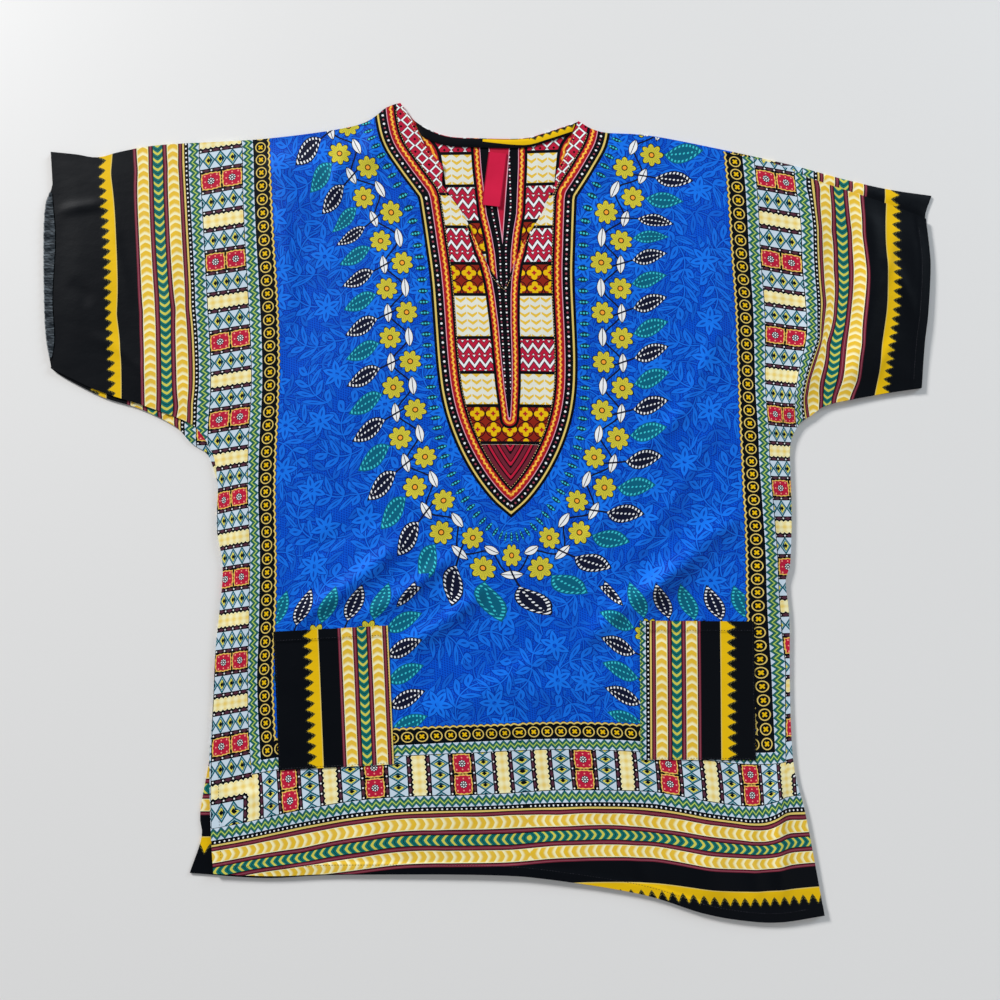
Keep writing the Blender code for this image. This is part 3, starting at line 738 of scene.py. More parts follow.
def cloth(name, flat, faces, floor_of, height_of, kinds, materials, coords=coordinates, low_of=None):
    """A thin closed sheet: its top finely split, its underside on the coarse triangles.

    floor_of lays flat points on the floor, where height_of gives the top's height and low_of the foot's."""
    count = len(flat)
    every, finer, edges = split(flat, faces)
    halves = {(int(a), int(b)): count + i for i, (a, b) in enumerate(edges)}
    floor = floor_of(every)
    high = height_of(floor)
    low = len(every)
    below = high - CLOTH if low_of is None else low_of(floor)
    points = np.vstack([np.column_stack([floor, high]), np.column_stack([floor, below])[:count]])
    rims, rim_owner = rims_of(faces, halves, low)
    polygons = finer.tolist() + (faces[:, ::-1] + low).tolist() + rims
    middles = flat[faces].mean(1)
    face_kinds = np.concatenate([np.tile(kinds, 4), kinds, kinds[rim_owner]])
    face_middles = np.vstack([every[finer].mean(1), middles, middles[rim_owner]])
    sizes = [len(p) for p in polygons]
    corner_flat = np.vstack([every, flat])[np.concatenate(polygons)]
    maps = coords(corner_flat, np.repeat(face_kinds, sizes), np.repeat(face_middles, sizes, axis=0))
    return make_mesh(name, points, polygons, materials, face_kinds, maps)


# ---------------- inks and the arithmetic of a print
def ink(red, green, blue):
    """A colour from its usual 0 to 255 parts, as light."""
    shares = [part / 255 for part in (red, green, blue)]
    return tuple(s / 12.92 if s < 0.04045 else ((s + 0.055) / 1.055) ** 2.4 for s in shares) + (1.0,)


BLUE = ink(2, 82, 204)
BLUE_LEAF = ink(22, 124, 244)
BLUE_DARK = ink(0, 46, 154)
BLACK = ink(3, 6, 12)
GOLD = ink(222, 194, 104)
YELLOW = ink(232, 186, 10)
BLOSSOM = ink(212, 198, 58)
CREAM = ink(246, 238, 188)
CREAM_WHITE = ink(228, 228, 214)
AMBER = ink(232, 190, 66)
PALE = ink(200, 216, 228)
WHITE = ink(238, 238, 238)
TEAL = ink(16, 112, 124)
TEAL_DARK = ink(10, 52, 70)
TEAL_BRIGHT = ink(60, 196, 206)
INK_THREAD = ink(20, 20, 26)
INK_THREAD_WORN = ink(58, 58, 66)
GOLD_THREAD = ink(232, 176, 84)
LEAF = ink(176, 204, 104)
LEAF_DARK = ink(18, 58, 40)
GREEN = ink(16, 112, 104)
OLIVE = ink(112, 104, 44)
WINE = ink(80, 42, 56)
MAROON = ink(112, 34, 50)
MAUVE = ink(150, 78, 92)
RED = ink(186, 28, 58)
SCARLET = ink(172, 26, 34)
ORANGE = ink(248, 162, 50)
PINK = ink(226, 160, 178)
NAVY = ink(16, 20, 44)


def adds(operation):
    """A method of Term that adds a Math node with this operation."""
    return lambda term, *others: term.math(operation, *others)


class Term:
    """A number in a material. Arithmetic on it adds the Math nodes."""

    def __init__(self, tree, socket):
        self.tree = tree
        self.socket = socket

    def math(self, operation, *others):
        node = self.tree.nodes.new("ShaderNodeMath")
        node.operation = operation
        for place, value in zip(node.inputs, (self, *others)):
            plug(self.tree, value, place)
        return Term(self.tree, node.outputs[0])

    __add__, __sub__, __mul__, __truediv__ = map(adds, ("ADD", "SUBTRACT", "MULTIPLY", "DIVIDE"))
    __lt__, __gt__ = adds("LESS_THAN"), adds("GREATER_THAN")
    size, sine, cosine = adds("ABSOLUTE"), adds("SINE"), adds("COSINE")
    least, most = adds("MINIMUM"), adds("MAXIMUM")

    def near(self, middle, half):
        """1 where this is within half of the middle, and 0 elsewhere."""
        return self.math("COMPARE", middle, half)

    def saw(self, period):
        """From 0 up to the period, again and again."""
        return self.math("WRAP", period, 0.0)

    def fold(self, half):
        """Up from 0 to half and down again, with its lowest point at 0."""
        return self.math("PINGPONG", half)

    def cell(self, period, shift=0.0):
        """Distance from the middle of the repeat that this falls in, below 0 before it."""
        return (self + (period / 2 + shift)).saw(period) - period / 2

    def rise(self, low, high):
        """0 below low, 1 above high and smooth between them."""
        node = self.tree.nodes.new("ShaderNodeMapRange")
        node.interpolation_type = "SMOOTHSTEP"
        plug(self.tree, self, node.inputs["Value"])
        node.inputs["From Min"].default_value = low
        node.inputs["From Max"].default_value = high
        return Term(self.tree, node.outputs["Result"])


def plug(tree, value, place):
    """A number, colour or term into a socket."""
    if isinstance(value, Term):
        tree.links.new(value.socket, place)
    elif isinstance(value, bpy.types.NodeSocket):
        tree.links.new(value, place)
    else:
        place.default_value = value


def span(x, y):
    """Length of the vector (x, y)."""
    return (x * x + y * y).math("SQRT")


def paint(under, over, cover):
    """The colour under, with the colour over laid on it where cover is 1."""
    tree = cover.tree
    node = tree.nodes.new("ShaderNodeMix")
    node.data_type = "RGBA"
    plug(tree, cover, node.inputs[0])
    plug(tree, under, node.inputs[6])
    plug(tree, over, node.inputs[7])
    return node.outputs[2]


def bands(value, width, *stops):
    """Colours in plain bands along the value: pairs of the place where each starts and its colour."""
    tree = value.tree
    node = tree.nodes.new("ShaderNodeValToRGB")
    node.color_ramp.interpolation = "CONSTANT"
    elements = node.color_ramp.elements
    elements[0].color = stops[0][1]
    elements.remove(elements[1])
    for place, colour in stops[1:]:
        elements.new(place / width).color = colour
    plug(tree, value / width, node.inputs["Fac"])
    return node.outputs["Color"]


def parts(tree, socket):
    """The first two numbers of a vector or colour."""
    node = tree.nodes.new("ShaderNodeSeparateXYZ")
    tree.links.new(socket, node.inputs[0])
    return Term(tree, node.outputs[0]), Term(tree, node.outputs[1])


def read(tree, name):
    """The two numbers of a UV map, in millimetres."""
    node = tree.nodes.new("ShaderNodeUVMap")
    node.uv_map = name
    across, up = parts(tree, node.outputs[0])
    return across * (1 / MAP_SCALE), up * (1 / MAP_SCALE)


def noise(tree, scale, detail=2.0, place=None, stretch=None):
    """Soft noise from 0 to 1, with scale repeats to the metre on the garment."""
    node = tree.nodes.new("ShaderNodeTexNoise")
    node.inputs["Scale"].default_value = scale
    node.inputs["Detail"].default_value = detail
    if place is None:
        place = tree.nodes.new("ShaderNodeTexCoord").outputs["Object"]
    if stretch:
        mapping = tree.nodes.new("ShaderNodeMapping")
        mapping.inputs["Scale"].default_value = stretch
        tree.links.new(place, mapping.inputs["Vector"])
        place = mapping.outputs["Vector"]
    tree.links.new(place, node.inputs["Vector"])
    return Term(tree, node.outputs["Fac"])


def cotton(name, design, roughness=0.52, worn=0.1):
    """A soft, thin, slightly shiny printed cotton. design paints its colours from the node tree."""
    made = bpy.data.materials.new(name)
    made.use_nodes = True
    tree = made.node_tree
    shader = tree.nodes["Principled BSDF"]
    uneven = noise(tree, 22.0, 3.0)
    shade = tree.nodes.new("ShaderNodeHueSaturation")
    plug(tree, design(tree), shade.inputs["Color"])
    plug(tree, uneven * (2 * worn) + (1 - worn), shade.inputs["Value"])
    tree.links.new(shade.outputs[0], shader.inputs["Base Color"])
    plug(tree, uneven * 0.16 + (roughness - 0.08), shader.inputs["Roughness"])
    shader.inputs["Sheen Weight"].default_value = 0.02
    shader.inputs["Sheen Roughness"].default_value = 0.4
    shader.inputs["Specular IOR Level"].default_value = 0.08
    bump = tree.nodes.new("ShaderNodeBump")
    bump.inputs["Strength"].default_value = 0.4
    bump.inputs["Distance"].default_value = 0.0014
    wrinkle = noise(tree, 30.0, 4.0, stretch=(1.0, 1.5, 1.0)) + noise(tree, 900.0, 1.0) * 0.1
    plug(tree, wrinkle, bump.inputs["Height"])
    tree.links.new(bump.outputs["Normal"], shader.inputs["Normal"])
    return made


# ---------------- motifs, with their sizes in millimetres
def scattered(tree, u, v, apart, seed):
    """Places strewn about this far apart: how far right of and above the nearest, and its random turn."""
    cells = tree.nodes.new("ShaderNodeTexVoronoi")
    cells.voronoi_dimensions = "2D"
    cells.inputs["Scale"].default_value = 1.0
    cells.inputs["Randomness"].default_value = 0.7
    place = tree.nodes.new("ShaderNodeCombineXYZ")
    x, y = u / apart + (20 + 3.7 * seed), v / apart + (20 + 1.9 * seed)
    plug(tree, x, place.inputs[0])
    plug(tree, y, place.inputs[1])
    tree.links.new(place.outputs[0], cells.inputs["Vector"])
    middle_x, middle_y = parts(tree, cells.outputs["Position"])
    _, turn = parts(tree, cells.outputs["Color"])
    return (x - middle_x) * apart, (y - middle_y) * apart, turn * (2 * math.pi)


def flowers(tree, u, v, apart, seed):
    """How far inside a petal each place is, for strewn flowers with six pointed petals."""
    right, up, turn = scattered(tree, u, v, apart, seed)
    away = span(right, up)
    beside = (up.math("ARCTAN2", right) + turn).cell(math.pi / 3).size() * away
    petal = (away * (math.pi / PETAL_REACH)).sine() * 4.0 - beside
    outside = (away > PETAL_REACH).most(away < 2.4)
    return petal * (outside * -1.0 + 1.0) - outside * 9.0


def sprays(tree, u, v, apart, seed):
    """How far inside a leaf or stem each place is, for strewn sprays of paired leaves on bent stems."""
    right, up, turn = scattered(tree, u, v, apart, seed)
    across, level = turn.sine(), turn.cosine()
    along = right * level + up * across
    out = (up * level - right * across + along * along * 0.018).size()
    leaf = (out * (math.pi / LEAF_REACH)).sine() * 4.3 - (along - out * 0.8).cell(13.0).size()
    leaf = leaf * (out < LEAF_REACH) - (out > LEAF_REACH) * 9.0
    return leaf.most(out * -1.0 + 0.7)


def foliage(tree, u, v):
    """The blue ground: paler flowers and leafy sprays with dark outlines, over a dotted darker blue."""
    speck = span(u.cell(2.7), (v + u * 0.4).cell(2.7)) < 0.85
    colour = paint(BLUE, BLUE_DARK, speck * 0.8)
    for inner, vein, strength in (
        (sprays(tree, u, v, 34.0, 2), 3.4, 0.45), (sprays(tree, u, v, 43.0, 1), 3.4, 0.7),
        (flowers(tree, u, v, 60.0, 4), 3.0, 0.8),
    ):
        colour = paint(colour, BLUE_DARK, (inner > -1.1) * 0.85)
        colour = paint(colour, BLUE_LEAF, (inner > 0.0) * strength)
        colour = paint(colour, BLUE_DARK, (inner > vein) * 0.8)
    return colour


def blue_ground(tree):
    return foliage(tree, *read(tree, "Print"))


def dots(along, across, period, radius, shift=0.0):
    """A row of round dots along a line."""
    return span(along.cell(period, shift), across) < radius


def rosette(colour, along, across, radius, petals, tone, heart, edge=BLACK):
    """A flower with rounded petals, veins and a dark edge, laid on the colour."""
    away = span(along, across)
    bearing = across.math("ARCTAN2", along)
    lobe = (bearing * (petals / 2)).sine().size()
    rim = lobe * (radius * 0.34) + radius * 0.66
    colour = paint(colour, edge, away < rim + radius * 0.09)
    colour = paint(colour, tone, away < rim)
    veins = ((bearing * (petals * 1.5)).sine().size() < 0.28) * (away < rim * 0.86) * (away > radius * 0.3)
    colour = paint(colour, OLIVE, veins * 0.8)
    colour = paint(colour, edge, away < radius * 0.27)
    return paint(colour, heart, away < radius * 0.18)


def bud(colour, along, across, length, width, fill, bead):
    """A bud pointing outwards, with a row of round beads inside its edge and another down its middle."""
    y = across / length
    rim = ((y + 0.5) * (y * -1.0 + 0.5)).most(0.0) * (y * -2.0 + 4.2)
    depth = rim - along.size() / width
    within = y.size() < 0.5
    colour = paint(colour, fill, (depth > 0.0) * within)
    beaded = (across * 1.7).sine() > 0.1
    colour = paint(colour, bead, depth.near(0.24, 0.12) * within * beaded)
    return paint(colour, bead, dots(across, along, 4.05, 1.0) * (depth > 0.55) * within)


def garland(tree):
    """A winding stem with a blossom and a white leaf in each bend, buds outside it and seeds inside it."""
    along, out = read(tree, "Path")
    colour = foliage(tree, *read(tree, "Print"))
    repeat = 56.0
    # seeds beside the neck panel
    seeds_apart, row = 12.4, out + 31.0
    seed = along.cell(seeds_apart).size() / 3.0 + (row / 6.4) * (row / 6.4)
    colour = paint(colour, TEAL_DARK, seed < 1.0)
    colour = paint(colour, TEAL_BRIGHT, dots(along, row.cell(3.4), seeds_apart, 1.15) * (seed < 1.0))
    # the stem, and a white leaf in each of its bends
    stem = (along * (2 * math.pi / repeat)).cosine() * 10.0
    colour = paint(colour, NAVY, (out - stem).size() < 1.3)
    outward = (along.cell(repeat).size() > repeat / 4) * 2.0 - 1.0
    leaf_x, leaf_y = along.cell(repeat / 2), out + outward * 11.0
    leaf = leaf_y.size() / 4.4 + (leaf_x / 11.0) * (leaf_x / 11.0)
    colour = paint(colour, NAVY, leaf < 1.15)
    colour = paint(colour, WHITE, (leaf < 0.95) * (leaf_y.size() > 0.4))
    # buds outside the stem on leaning stalks, teal and navy in turn
    lean = (out - 44.0) * 0.4
    for shift, fill, bead in ((14.0, ink(8, 96, 122), TEAL_BRIGHT), (42.0, NAVY, WHITE)):
        x = along.cell(repeat, shift) - lean
        stalk = (x.size() < 1.0) * out.near(13.0, 12.0)
        colour = bud(paint(colour, fill, stalk), x, out - 43.0, 39.0, 9.4, fill, bead)
    # blossoms, inside and outside the stem in turn
    return rosette(colour, along.cell(repeat / 2), out - outward * 10.5, 12.5, 8, BLOSSOM, ORANGE)


def chain(tree):
    """Gold rings, each holding a small four-leaved flower, beside a gold line with a scalloped edge."""
    along, out = read(tree, "Print")
    repeat = 14.8
    edge = (along * (math.pi / repeat * 2)).sine().size() * 1.7
    colour = paint(BLACK, BLUE, out < edge * -1.0 + 1.7)
    colour = paint(colour, GOLD, (out + edge).near(3.4, 0.95))
    x, y = along.cell(repeat), out - RING_MIDDLE
    away = span(x, y)
    colour = paint(colour, GOLD, away.near(5.7, 0.62))
    flower = (y.math("ARCTAN2", x) * 2.0).sine().size() * 2.2 + 1.0
    return paint(colour, YELLOW, away < flower)


def zigzag(tree):
    """A pale green zigzag line between dark and green ones, with white triangles beside them."""
    along, out = read(tree, "Print")
    across = (out - CHAIN.end).saw(ZIGZAG_OUT.start - ZIGZAG_IN.start)
    away = (across - 4.2 - along.fold(4.0) * 1.15).size()
    colour = bands(
        away, 9.0,
        (0, LEAF), (0.85, LEAF_DARK), (1.6, ink(60, 132, 96)), (2.3, TEAL_DARK), (3.0, TEAL),
        (3.7, TEAL_DARK), (4.3, PALE),
    )
    return paint(colour, BLACK, (across - 6.5).size() > 6.0)


# How far from the middle of a cream bar the ladder's next rows lie, and their half widths
BAR_HALF = 7.4
MARKS_OFF = 9.75
LATTICE_OFF = 21.1
LATTICE_HALF = 9.1


def strip_marks(colour, along, off):
    """White dots and wine-coloured lozenges in turn, in a narrow black row."""
    colour = paint(colour, WINE, (along.cell(10.6, 5.3).size() / 4.0 + off.size() / 2.0) < 1.0)
    return paint(colour, WHITE, dots(along, off, 10.6, 0.9))


def lattice(along, off):
    """A row of teal lozenges with yellow rings round their black middles, on pale triangles."""
    x = along.cell(12.0, 2.0)
    lozenge = x.size() / 6.0 + off.size() / LATTICE_HALF
    woven = paint(PALE, TEAL_DARK, lozenge < 1.1)
    woven = paint(woven, TEAL, lozenge < 0.97)
    woven = paint(woven, PALE, lozenge.near(0.74, 0.04))
    inner = (x - 0.4).size() / 6.0 + off.size() / LATTICE_HALF
    woven = paint(woven, TEAL_DARK, inner < 0.66)
    woven = paint(woven, ink(230, 220, 92), (inner < 0.58) * (x > -0.9))
    return paint(woven, BLACK, inner < 0.33)


def cream_bar(along, off):
    """Cream mottled with yellow, with a scalloped pale edge on each side."""
    mottle = (along * (2 * math.pi / 9.0)).sine() * 0.3 + (off * 0.9).cosine() * 0.25 + 0.4
    edge = (along * (math.pi / 5.3)).sine().size() * 1.7 + 5.6
    scallop = paint(CREAM, paint(CREAM, ink(236, 202, 98), mottle), off.size() < edge - 0.9)
    return paint(BLACK, scallop, off.size() < edge)


def ladder(tree):
    """Rows across the band: red squares with rosettes, lattices and cream bars, between black strips."""
    along, out = read(tree, "Print")
    across = out - LADDER.start
    row = (along - 22.2).fold(LADDER_REPEAT / 2)
    marks_beyond = 2 * LATTICE_OFF - MARKS_OFF
    marks = (row - MARKS_OFF).size().least((row - marks_beyond).size())
    colour = strip_marks(BLACK, across, marks)
    woven = row - LATTICE_OFF
    colour = paint(colour, lattice(across, woven), woven.size() < LATTICE_HALF)
    colour = paint(colour, cream_bar(across, row), row < BAR_HALF)
    # red squares
    x = across.cell(22.0, 11.0)
    y = row * -1.0 + LADDER_REPEAT / 2
    ripple = ((x + y) * (2 * math.pi / 5.2)).sine() * 0.03
    square = (x.size() / 11.3).most(y / 10.2) + (x.size() * y) * 0.0011 + ripple
    red = paint(ink(236, 192, 92), RED, square < 0.84)
    corner_x, corner_y = x.size() - 6.3, y - 6.3
    beads = (span(corner_x, corner_y) < 0.9).most(span(x, corner_y) < 0.8).most(span(corner_x, y) < 0.8)
    red = paint(red, ink(248, 160, 140), beads)
    away = span(x, y)
    red = paint(red, BLACK, away < 3.9)
    petals = (y.math("ARCTAN2", x) * 8.0).cosine() > -0.1
    red = paint(red, WHITE, (away.near(2.7, 0.75) * petals).most(away < 0.9))
    colour = paint(colour, red, (square < 0.96) * (row > 34.6))
    return paint(colour, BLACK, (across - 22.0).size() > 21.7)


def ladder_corner(tree):
    """Where the side band meets the hem's: a cream bar bent round a corner of lattice."""
    side, foot = read(tree, "Print")
    x, y = side - LADDER.start + 0.2, foot - LADDER.start - 9.5
    off, along = x.least(y), x.most(y)
    colour = strip_marks(BLACK, along, (off - MARKS_OFF).size().least((off + MARKS_OFF).size()))
    colour = paint(colour, lattice(along, off - LATTICE_OFF), off > LATTICE_OFF - LATTICE_HALF)
    return paint(colour, cream_bar(along, off), off.size() < BAR_HALF)


def arches(along, off):
    """Rises from 0 to 1 across each pointed arch of a row, with its point forward."""
    return (along + off.size() * 0.3 + off * off * 0.045).saw(8.9) / 8.9


def stripes(tree):
    """Dots, a gold line, and cream and green bands of arches between wine-coloured lines."""
    along, out = read(tree, "Print")
    across = out - STRIPES.start
    colour = bands(
        across, STRIPES.end - STRIPES.start,
        (0, BLACK), (4, GOLD), (6, BLACK), (6.9, MAROON), (8.2, MAUVE), (8.8, MAROON), (10.2, BLACK),
        (11, CREAM), (24, BLACK), (24.9, MAROON), (26.3, MAUVE), (26.9, MAROON), (28.5, BLACK),
        (29.5, GREEN), (40, BLACK), (41, MAROON), (42.5, MAUVE), (43.1, MAROON), (44.6, BLACK),
        (45.5, CREAM), (58.5, BLACK), (59.4, MAROON), (60.7, MAUVE), (61.3, MAROON), (62.4, BLACK),
    )
    colour = paint(colour, WHITE, dots(along, across - 2.1, 5.0, 0.95))
    near, far = across - 17.5, across - 52.0
    off = near * (near.size() < far.size()) + far * (far.size() < near.size())
    arch = arches(along, off)
    beside = (off.size() * -1.0 + 6.4).rise(0.0, 1.2)
    gold = arch.rise(0.12, 0.5) * (arch * -1.0 + 1.0).rise(0.0, 0.1) * beside
    patchy = noise(tree, 90.0).rise(0.3, 0.7)
    colour = paint(colour, paint(AMBER, YELLOW, patchy * 0.5), gold)
    off = across - 34.7
    arch = arches(along * -1.0, off * 1.35)
    green = off.size() < 5.2
    colour = paint(colour, ink(208, 202, 84), (arch < 0.34) * green)
    return paint(colour, TEAL_DARK, arch.near(0.66, 0.05) * green)


def border(tree):
    """Black, a gold band that ends in a row of teeth with shaded leaves between them, and black again."""
    along, out = read(tree, "Print")
    rise = out - BORDER.start - 22.0
    phase = ((along + rise * 0.1) * -1.0).saw(11.3) / 11.3
    from_middle = (phase - 0.5).size() * 2.0
    # the gold reaches furthest at its teeth, and a shaded leaf fills each gap between two
    beyond = rise - from_middle.math("POWER", 1.35) * 10.0 - 7.5
    colour = paint(BLACK, YELLOW, (rise > 0.0) * (beyond < 0.0))
    colour = paint(colour, GOLD, rise.near(0.5, 0.5))
    streaks = (rise * 2.4 - from_middle * 7.0).sine() > -0.2
    return paint(colour, OLIVE, streaks * beyond.near(1.7, 1.5) * (rise < 18.5))


def blocks(u, v):
    """Rows of figured blocks down the neck panel, between black bars."""
    wing = (u.size() - 5.0).cell(12.0, 6.0).size()
    chevron = (v - wing * 0.7).cell(8.6).size() + wing * 0.12 - 1.9
    cream = paint(CREAM_WHITE, AMBER, (chevron < 0.0) * (wing < 5.4))
    lozenge = u.cell(15.0).size() / 7.5 + v.cell(15.0).size() / 7.5
    red = bands(
        lozenge, 2.0, (0, BLACK), (0.22, RED), (0.86, BLACK), (0.98, WHITE), (1.32, BLACK), (1.4, RED),
    )
    x, y = u.cell(18.0), v.cell(18.0, 5.0)
    away = span(x, y)
    petal = (y.math("ARCTAN2", x) * 2.0).cosine().size()
    gold = paint(YELLOW, ink(140, 36, 20), away > petal * 3.5 + 4.6)
    gold = paint(gold, BLACK, away.near(8.6, 0.5))
    gold = paint(gold, SCARLET, away < petal * 1.5 + 1.2)
    zig = (v.saw(17.0) - u.cell(12.0).size() * 1.4 - 4.0) / 17.0
    teeth = bands(zig.size(), 1.0, (0, WHITE), (0.12, BLACK), (0.2, RED), (0.55, BLACK), (0.62, WHITE))
    colour = cream
    rows = ((red, 356, 520), (teeth, 276, 318), (gold, 240, 276), (teeth, 150, 190), (gold, 70, 112))
    for block, low, high in rows:
        colour = paint(colour, block, v.near((low + high) / 2, (high - low) / 2))
    for line in (356, 318, 276, 240, 190, 150, 112, 70):
        colour = paint(colour, BLACK, v.near(line, 1.8))
    return colour


def braid(along, off):
    """An orange cord that winds down the middle of a red band, with light seeds along it."""
    cord = (off - (along * (2 * math.pi / 6.8)).sine() * 0.8).size()
    colour = paint(SCARLET, ORANGE, cord < 1.3)
    return paint(colour, ink(252, 226, 100), dots(along, off, 3.4, 0.8, 0.8) * (cord < 1.1))


def neck_panel(tree):
    """The panel round the neck: bands that follow its outline, rows of blocks, and a middle strip."""
    u, v = read(tree, "Print")
    along, depth = read(tree, "Path")
    round_strip, clear = read(tree, "Slit")
    colour = blocks(u, v)
    # the tip, in nested bands
    nest = bands((depth - 26.0).saw(9.0), 9.0, (0, MAROON), (4.0, BLACK), (5.5, RED), (8.0, BLACK))
    colour = paint(colour, nest, v < 68.0)
    # the border beside the middle strip
    edge = bands(clear, 12.0, (0, BLACK), (0.8, PINK), (1.6, SCARLET), (8.0, BLACK))
    edge = paint(edge, braid(round_strip, clear - 4.9), clear.near(4.9, 2.2))
    colour = paint(colour, edge, clear < 11.0)
    # the black middle strip, with a red wedge and two rows of dots
    row = u.size() - 3.2 - v.rise(236.0, 300.0) * 7.5
    strip = paint(BLACK, WHITE, dots(v, row, 7.3, 1.0))
    strip = paint(strip, ink(140, 60, 80), dots(v, row, 7.3, 0.8, 3.65))
    wedge = (v - 258.0) * 0.104 - u.size()
    strip = paint(strip, PINK, wedge > -0.9)
    strip = paint(strip, RED, wedge > 0.0)
    colour = paint(colour, strip, clear < 0.0)
    # the bands that follow the outline
    rim = bands(
        depth, 30.0,
        (0, BLACK), (2.9, GOLD), (5.0, BLACK), (13.6, PINK), (14.5, SCARLET), (22.4, BLACK),
    )
    rim = paint(rim, braid(along, depth - 19.2), depth.near(19.2, 2.4))
    rim = paint(rim, WHITE, dots(along, depth - 9.4, 11.0, 1.35))
    rim = paint(rim, ink(150, 70, 84), dots(along, depth - 9.4, 11.0, 1.2, 5.5))
    return paint(colour, rim, depth < 26.0)


DESIGNS = (blue_ground, garland, neck_panel, chain, zigzag, ladder, ladder_corner, stripes, border)


# ---------------- stitches
STITCH_PITCH = 3.1
STITCH_LENGTH = 2.4
STITCH_WIDTH = 0.6
STITCH_RISE = 0.28  # of its middle above the cloth
STITCH_EDGE = 0.02  # and of its ends and sides
STITCH_SINK = 0.2  # how deep in the cloth its underside is


def stitches(name, lines, height_of, material):
    """One joined piece of raised stitches, end to end along lines on the floor."""
    places, ways = [], []
    for line in lines:
        run = np.concatenate([[0], np.cumsum(np.hypot(*np.diff(line, axis=0).T))])
        at = np.arange(STITCH_PITCH, run[-1] - STITCH_PITCH / 2, STITCH_PITCH)
        place = np.column_stack([np.interp(at, run, line[:, 0]), np.interp(at, run, line[:, 1])])
        way = np.gradient(place, axis=0)
        places.append(place)
        ways.append(way / np.hypot(*way.T)[:, None])
    here, along = np.vstack(places), np.vstack(ways)
    across = np.column_stack([-along[:, 1], along[:, 0]]) * (STITCH_WIDTH / 2)
    along = along * (STITCH_LENGTH / 2)
    spots = (here - along, here + along, here + across, here - across, here, here)
    lifts = 4 * (STITCH_EDGE,) + (STITCH_RISE, -STITCH_SINK)
    points = np.vstack([np.column_stack([at, height_of(at) + lift]) for at, lift in zip(spots, lifts)])
    start, end, left, right, top, foot = (np.arange(len(here)) + len(here) * corner for corner in range(6))
    sides = ((start, right), (right, end), (end, left), (left, start))
    upper = [np.column_stack([a, b, top]) for a, b in sides]
    lower = [np.column_stack([b, a, foot]) for a, b in sides]
    faces = np.vstack(upper + lower)
    return make_mesh(name, points, faces.tolist(), [material], np.zeros(len(faces), int), {})


def thread_design(tone, worn):
    """Twisted thread, with its worn colour in patches."""
    return lambda tree: paint(tone, worn, noise(tree, 300.0).rise(0.35, 0.75))


# ---------------- the panels
PANEL_STITCH = 25.2  # how far inside the neck panel's edge its ring of stitches runs
PANEL_STITCH_CLEAR = 4.0  # and how near to the front's edge it goes
NECK_STITCH = 2.8  # how far inside the edge of the neck and slit theirs run
HEM_WIDTH = 11.0
HEM_STEP = 0.45  # how much thicker the cloth is where its hem is turned
HEM_RAMP = 1.5  # the step rises over this width, and the stitches run this far inside it
HEMMED = (  # the front's cut edges that are turned and stitched
    np.array(seams(FRONT_RIGHT_CUFF, FRONT_RIGHT_CUFF_EDGE, RIGHT_CUFF_END) + [RIGHT_CUFF_END]),
    np.array(seams(RIGHT_HEM, FRONT_HEM, FRONT_LEFT_HEM) + [FRONT_LEFT_HEM]),
    np.array(seams(FRONT_LEFT_HEM, FRONT_VENT_EDGE, FRONT_LEFT_VENT) + [FRONT_LEFT_VENT]),
)


def front_height(floor):
    """The height of the front's upper side: its folds, its creases and its turned hems."""
    lift = front_lift(floor)
    share = smooth(to_edge(floor, FRONT_EDGE) / EDGE_SETTLE)
    fine = fold_heights(floor, CREASES) * (CREASE_SHARE + (1 - CREASE_SHARE) * share)
    from_hem = np.min([along_path(floor, edge)[0] for edge in HEMMED], axis=0)
    hem = HEM_STEP * smooth((HEM_WIDTH + HEM_RAMP - from_hem) / HEM_RAMP)
    return WALL + GAP + WALL + np.maximum(0.0, lift + fine) + hem


def inset(edge, distance):
    """The edge's line moved into the front, where that stays clear of the front's other edges."""
    line = offset_line(edge, distance)
    return line[inside(line, FRONT_EDGE) & (to_edge(line, FRONT_EDGE) > distance * 0.9)]


def front_stitches():
    """Dark stitches along the hems, and gold ones round the neck and inside the neck panel's border."""
    hems = [inset(edge, HEM_WIDTH - HEM_RAMP) for edge in HEMMED]
    neck = inset(resampled(np.array(NECK_EDGE + [NECK_RIGHT]), 2.0), NECK_STITCH)
    ring = offset_line(resampled(PANEL_EDGE, 2.0), -PANEL_STITCH)
    ring = ring[along_path(ring, PANEL_EDGE)[0] > PANEL_STITCH * 0.97]
    ring = FRONT_SPREAD.lay(ring)
    ring = ring[inside(ring, FRONT_EDGE) & (to_edge(ring, FRONT_EDGE) > PANEL_STITCH_CLEAR)]
    dark = cotton("thread_dark", thread_design(INK_THREAD, INK_THREAD_WORN))
    along_hems = stitches("hem_stitches", hems, front_height, dark)
    gold = cotton("thread_gold", thread_design(GOLD_THREAD, CREAM))
    return [along_hems, stitches("neck_stitches", [neck, ring], front_height, gold)]


def panel_cut(spread, edge, lines, cell, fine=None):
    """A panel's points on its flat cut, its triangles and which region of the print each is in."""
    outline = spread.unlay(edge)
    flat, faces = triangulated(outline, lines, cells_inside(outline, lines, cell, fine))
    return flat, faces, kinds_of(flat[faces].mean(1))


def make_front(materials):
    lines = print_lines(CELL)
    for edge in HEMMED:
        for distance in (HEM_WIDTH, HEM_WIDTH + HEM_RAMP):
            lines.append(resampled(FRONT_SPREAD.unlay(offset_line(edge, distance)), CELL))
    flat, faces, kinds = panel_cut(FRONT_SPREAD, FRONT_EDGE, lines, CELL, fine=(FINE_SHARE, GARLAND_AREA))
    piece = cloth("front_cloth", flat, faces, FRONT_SPREAD.lay, front_height, kinds, materials)
    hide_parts("front_panel")
    front_stitches()


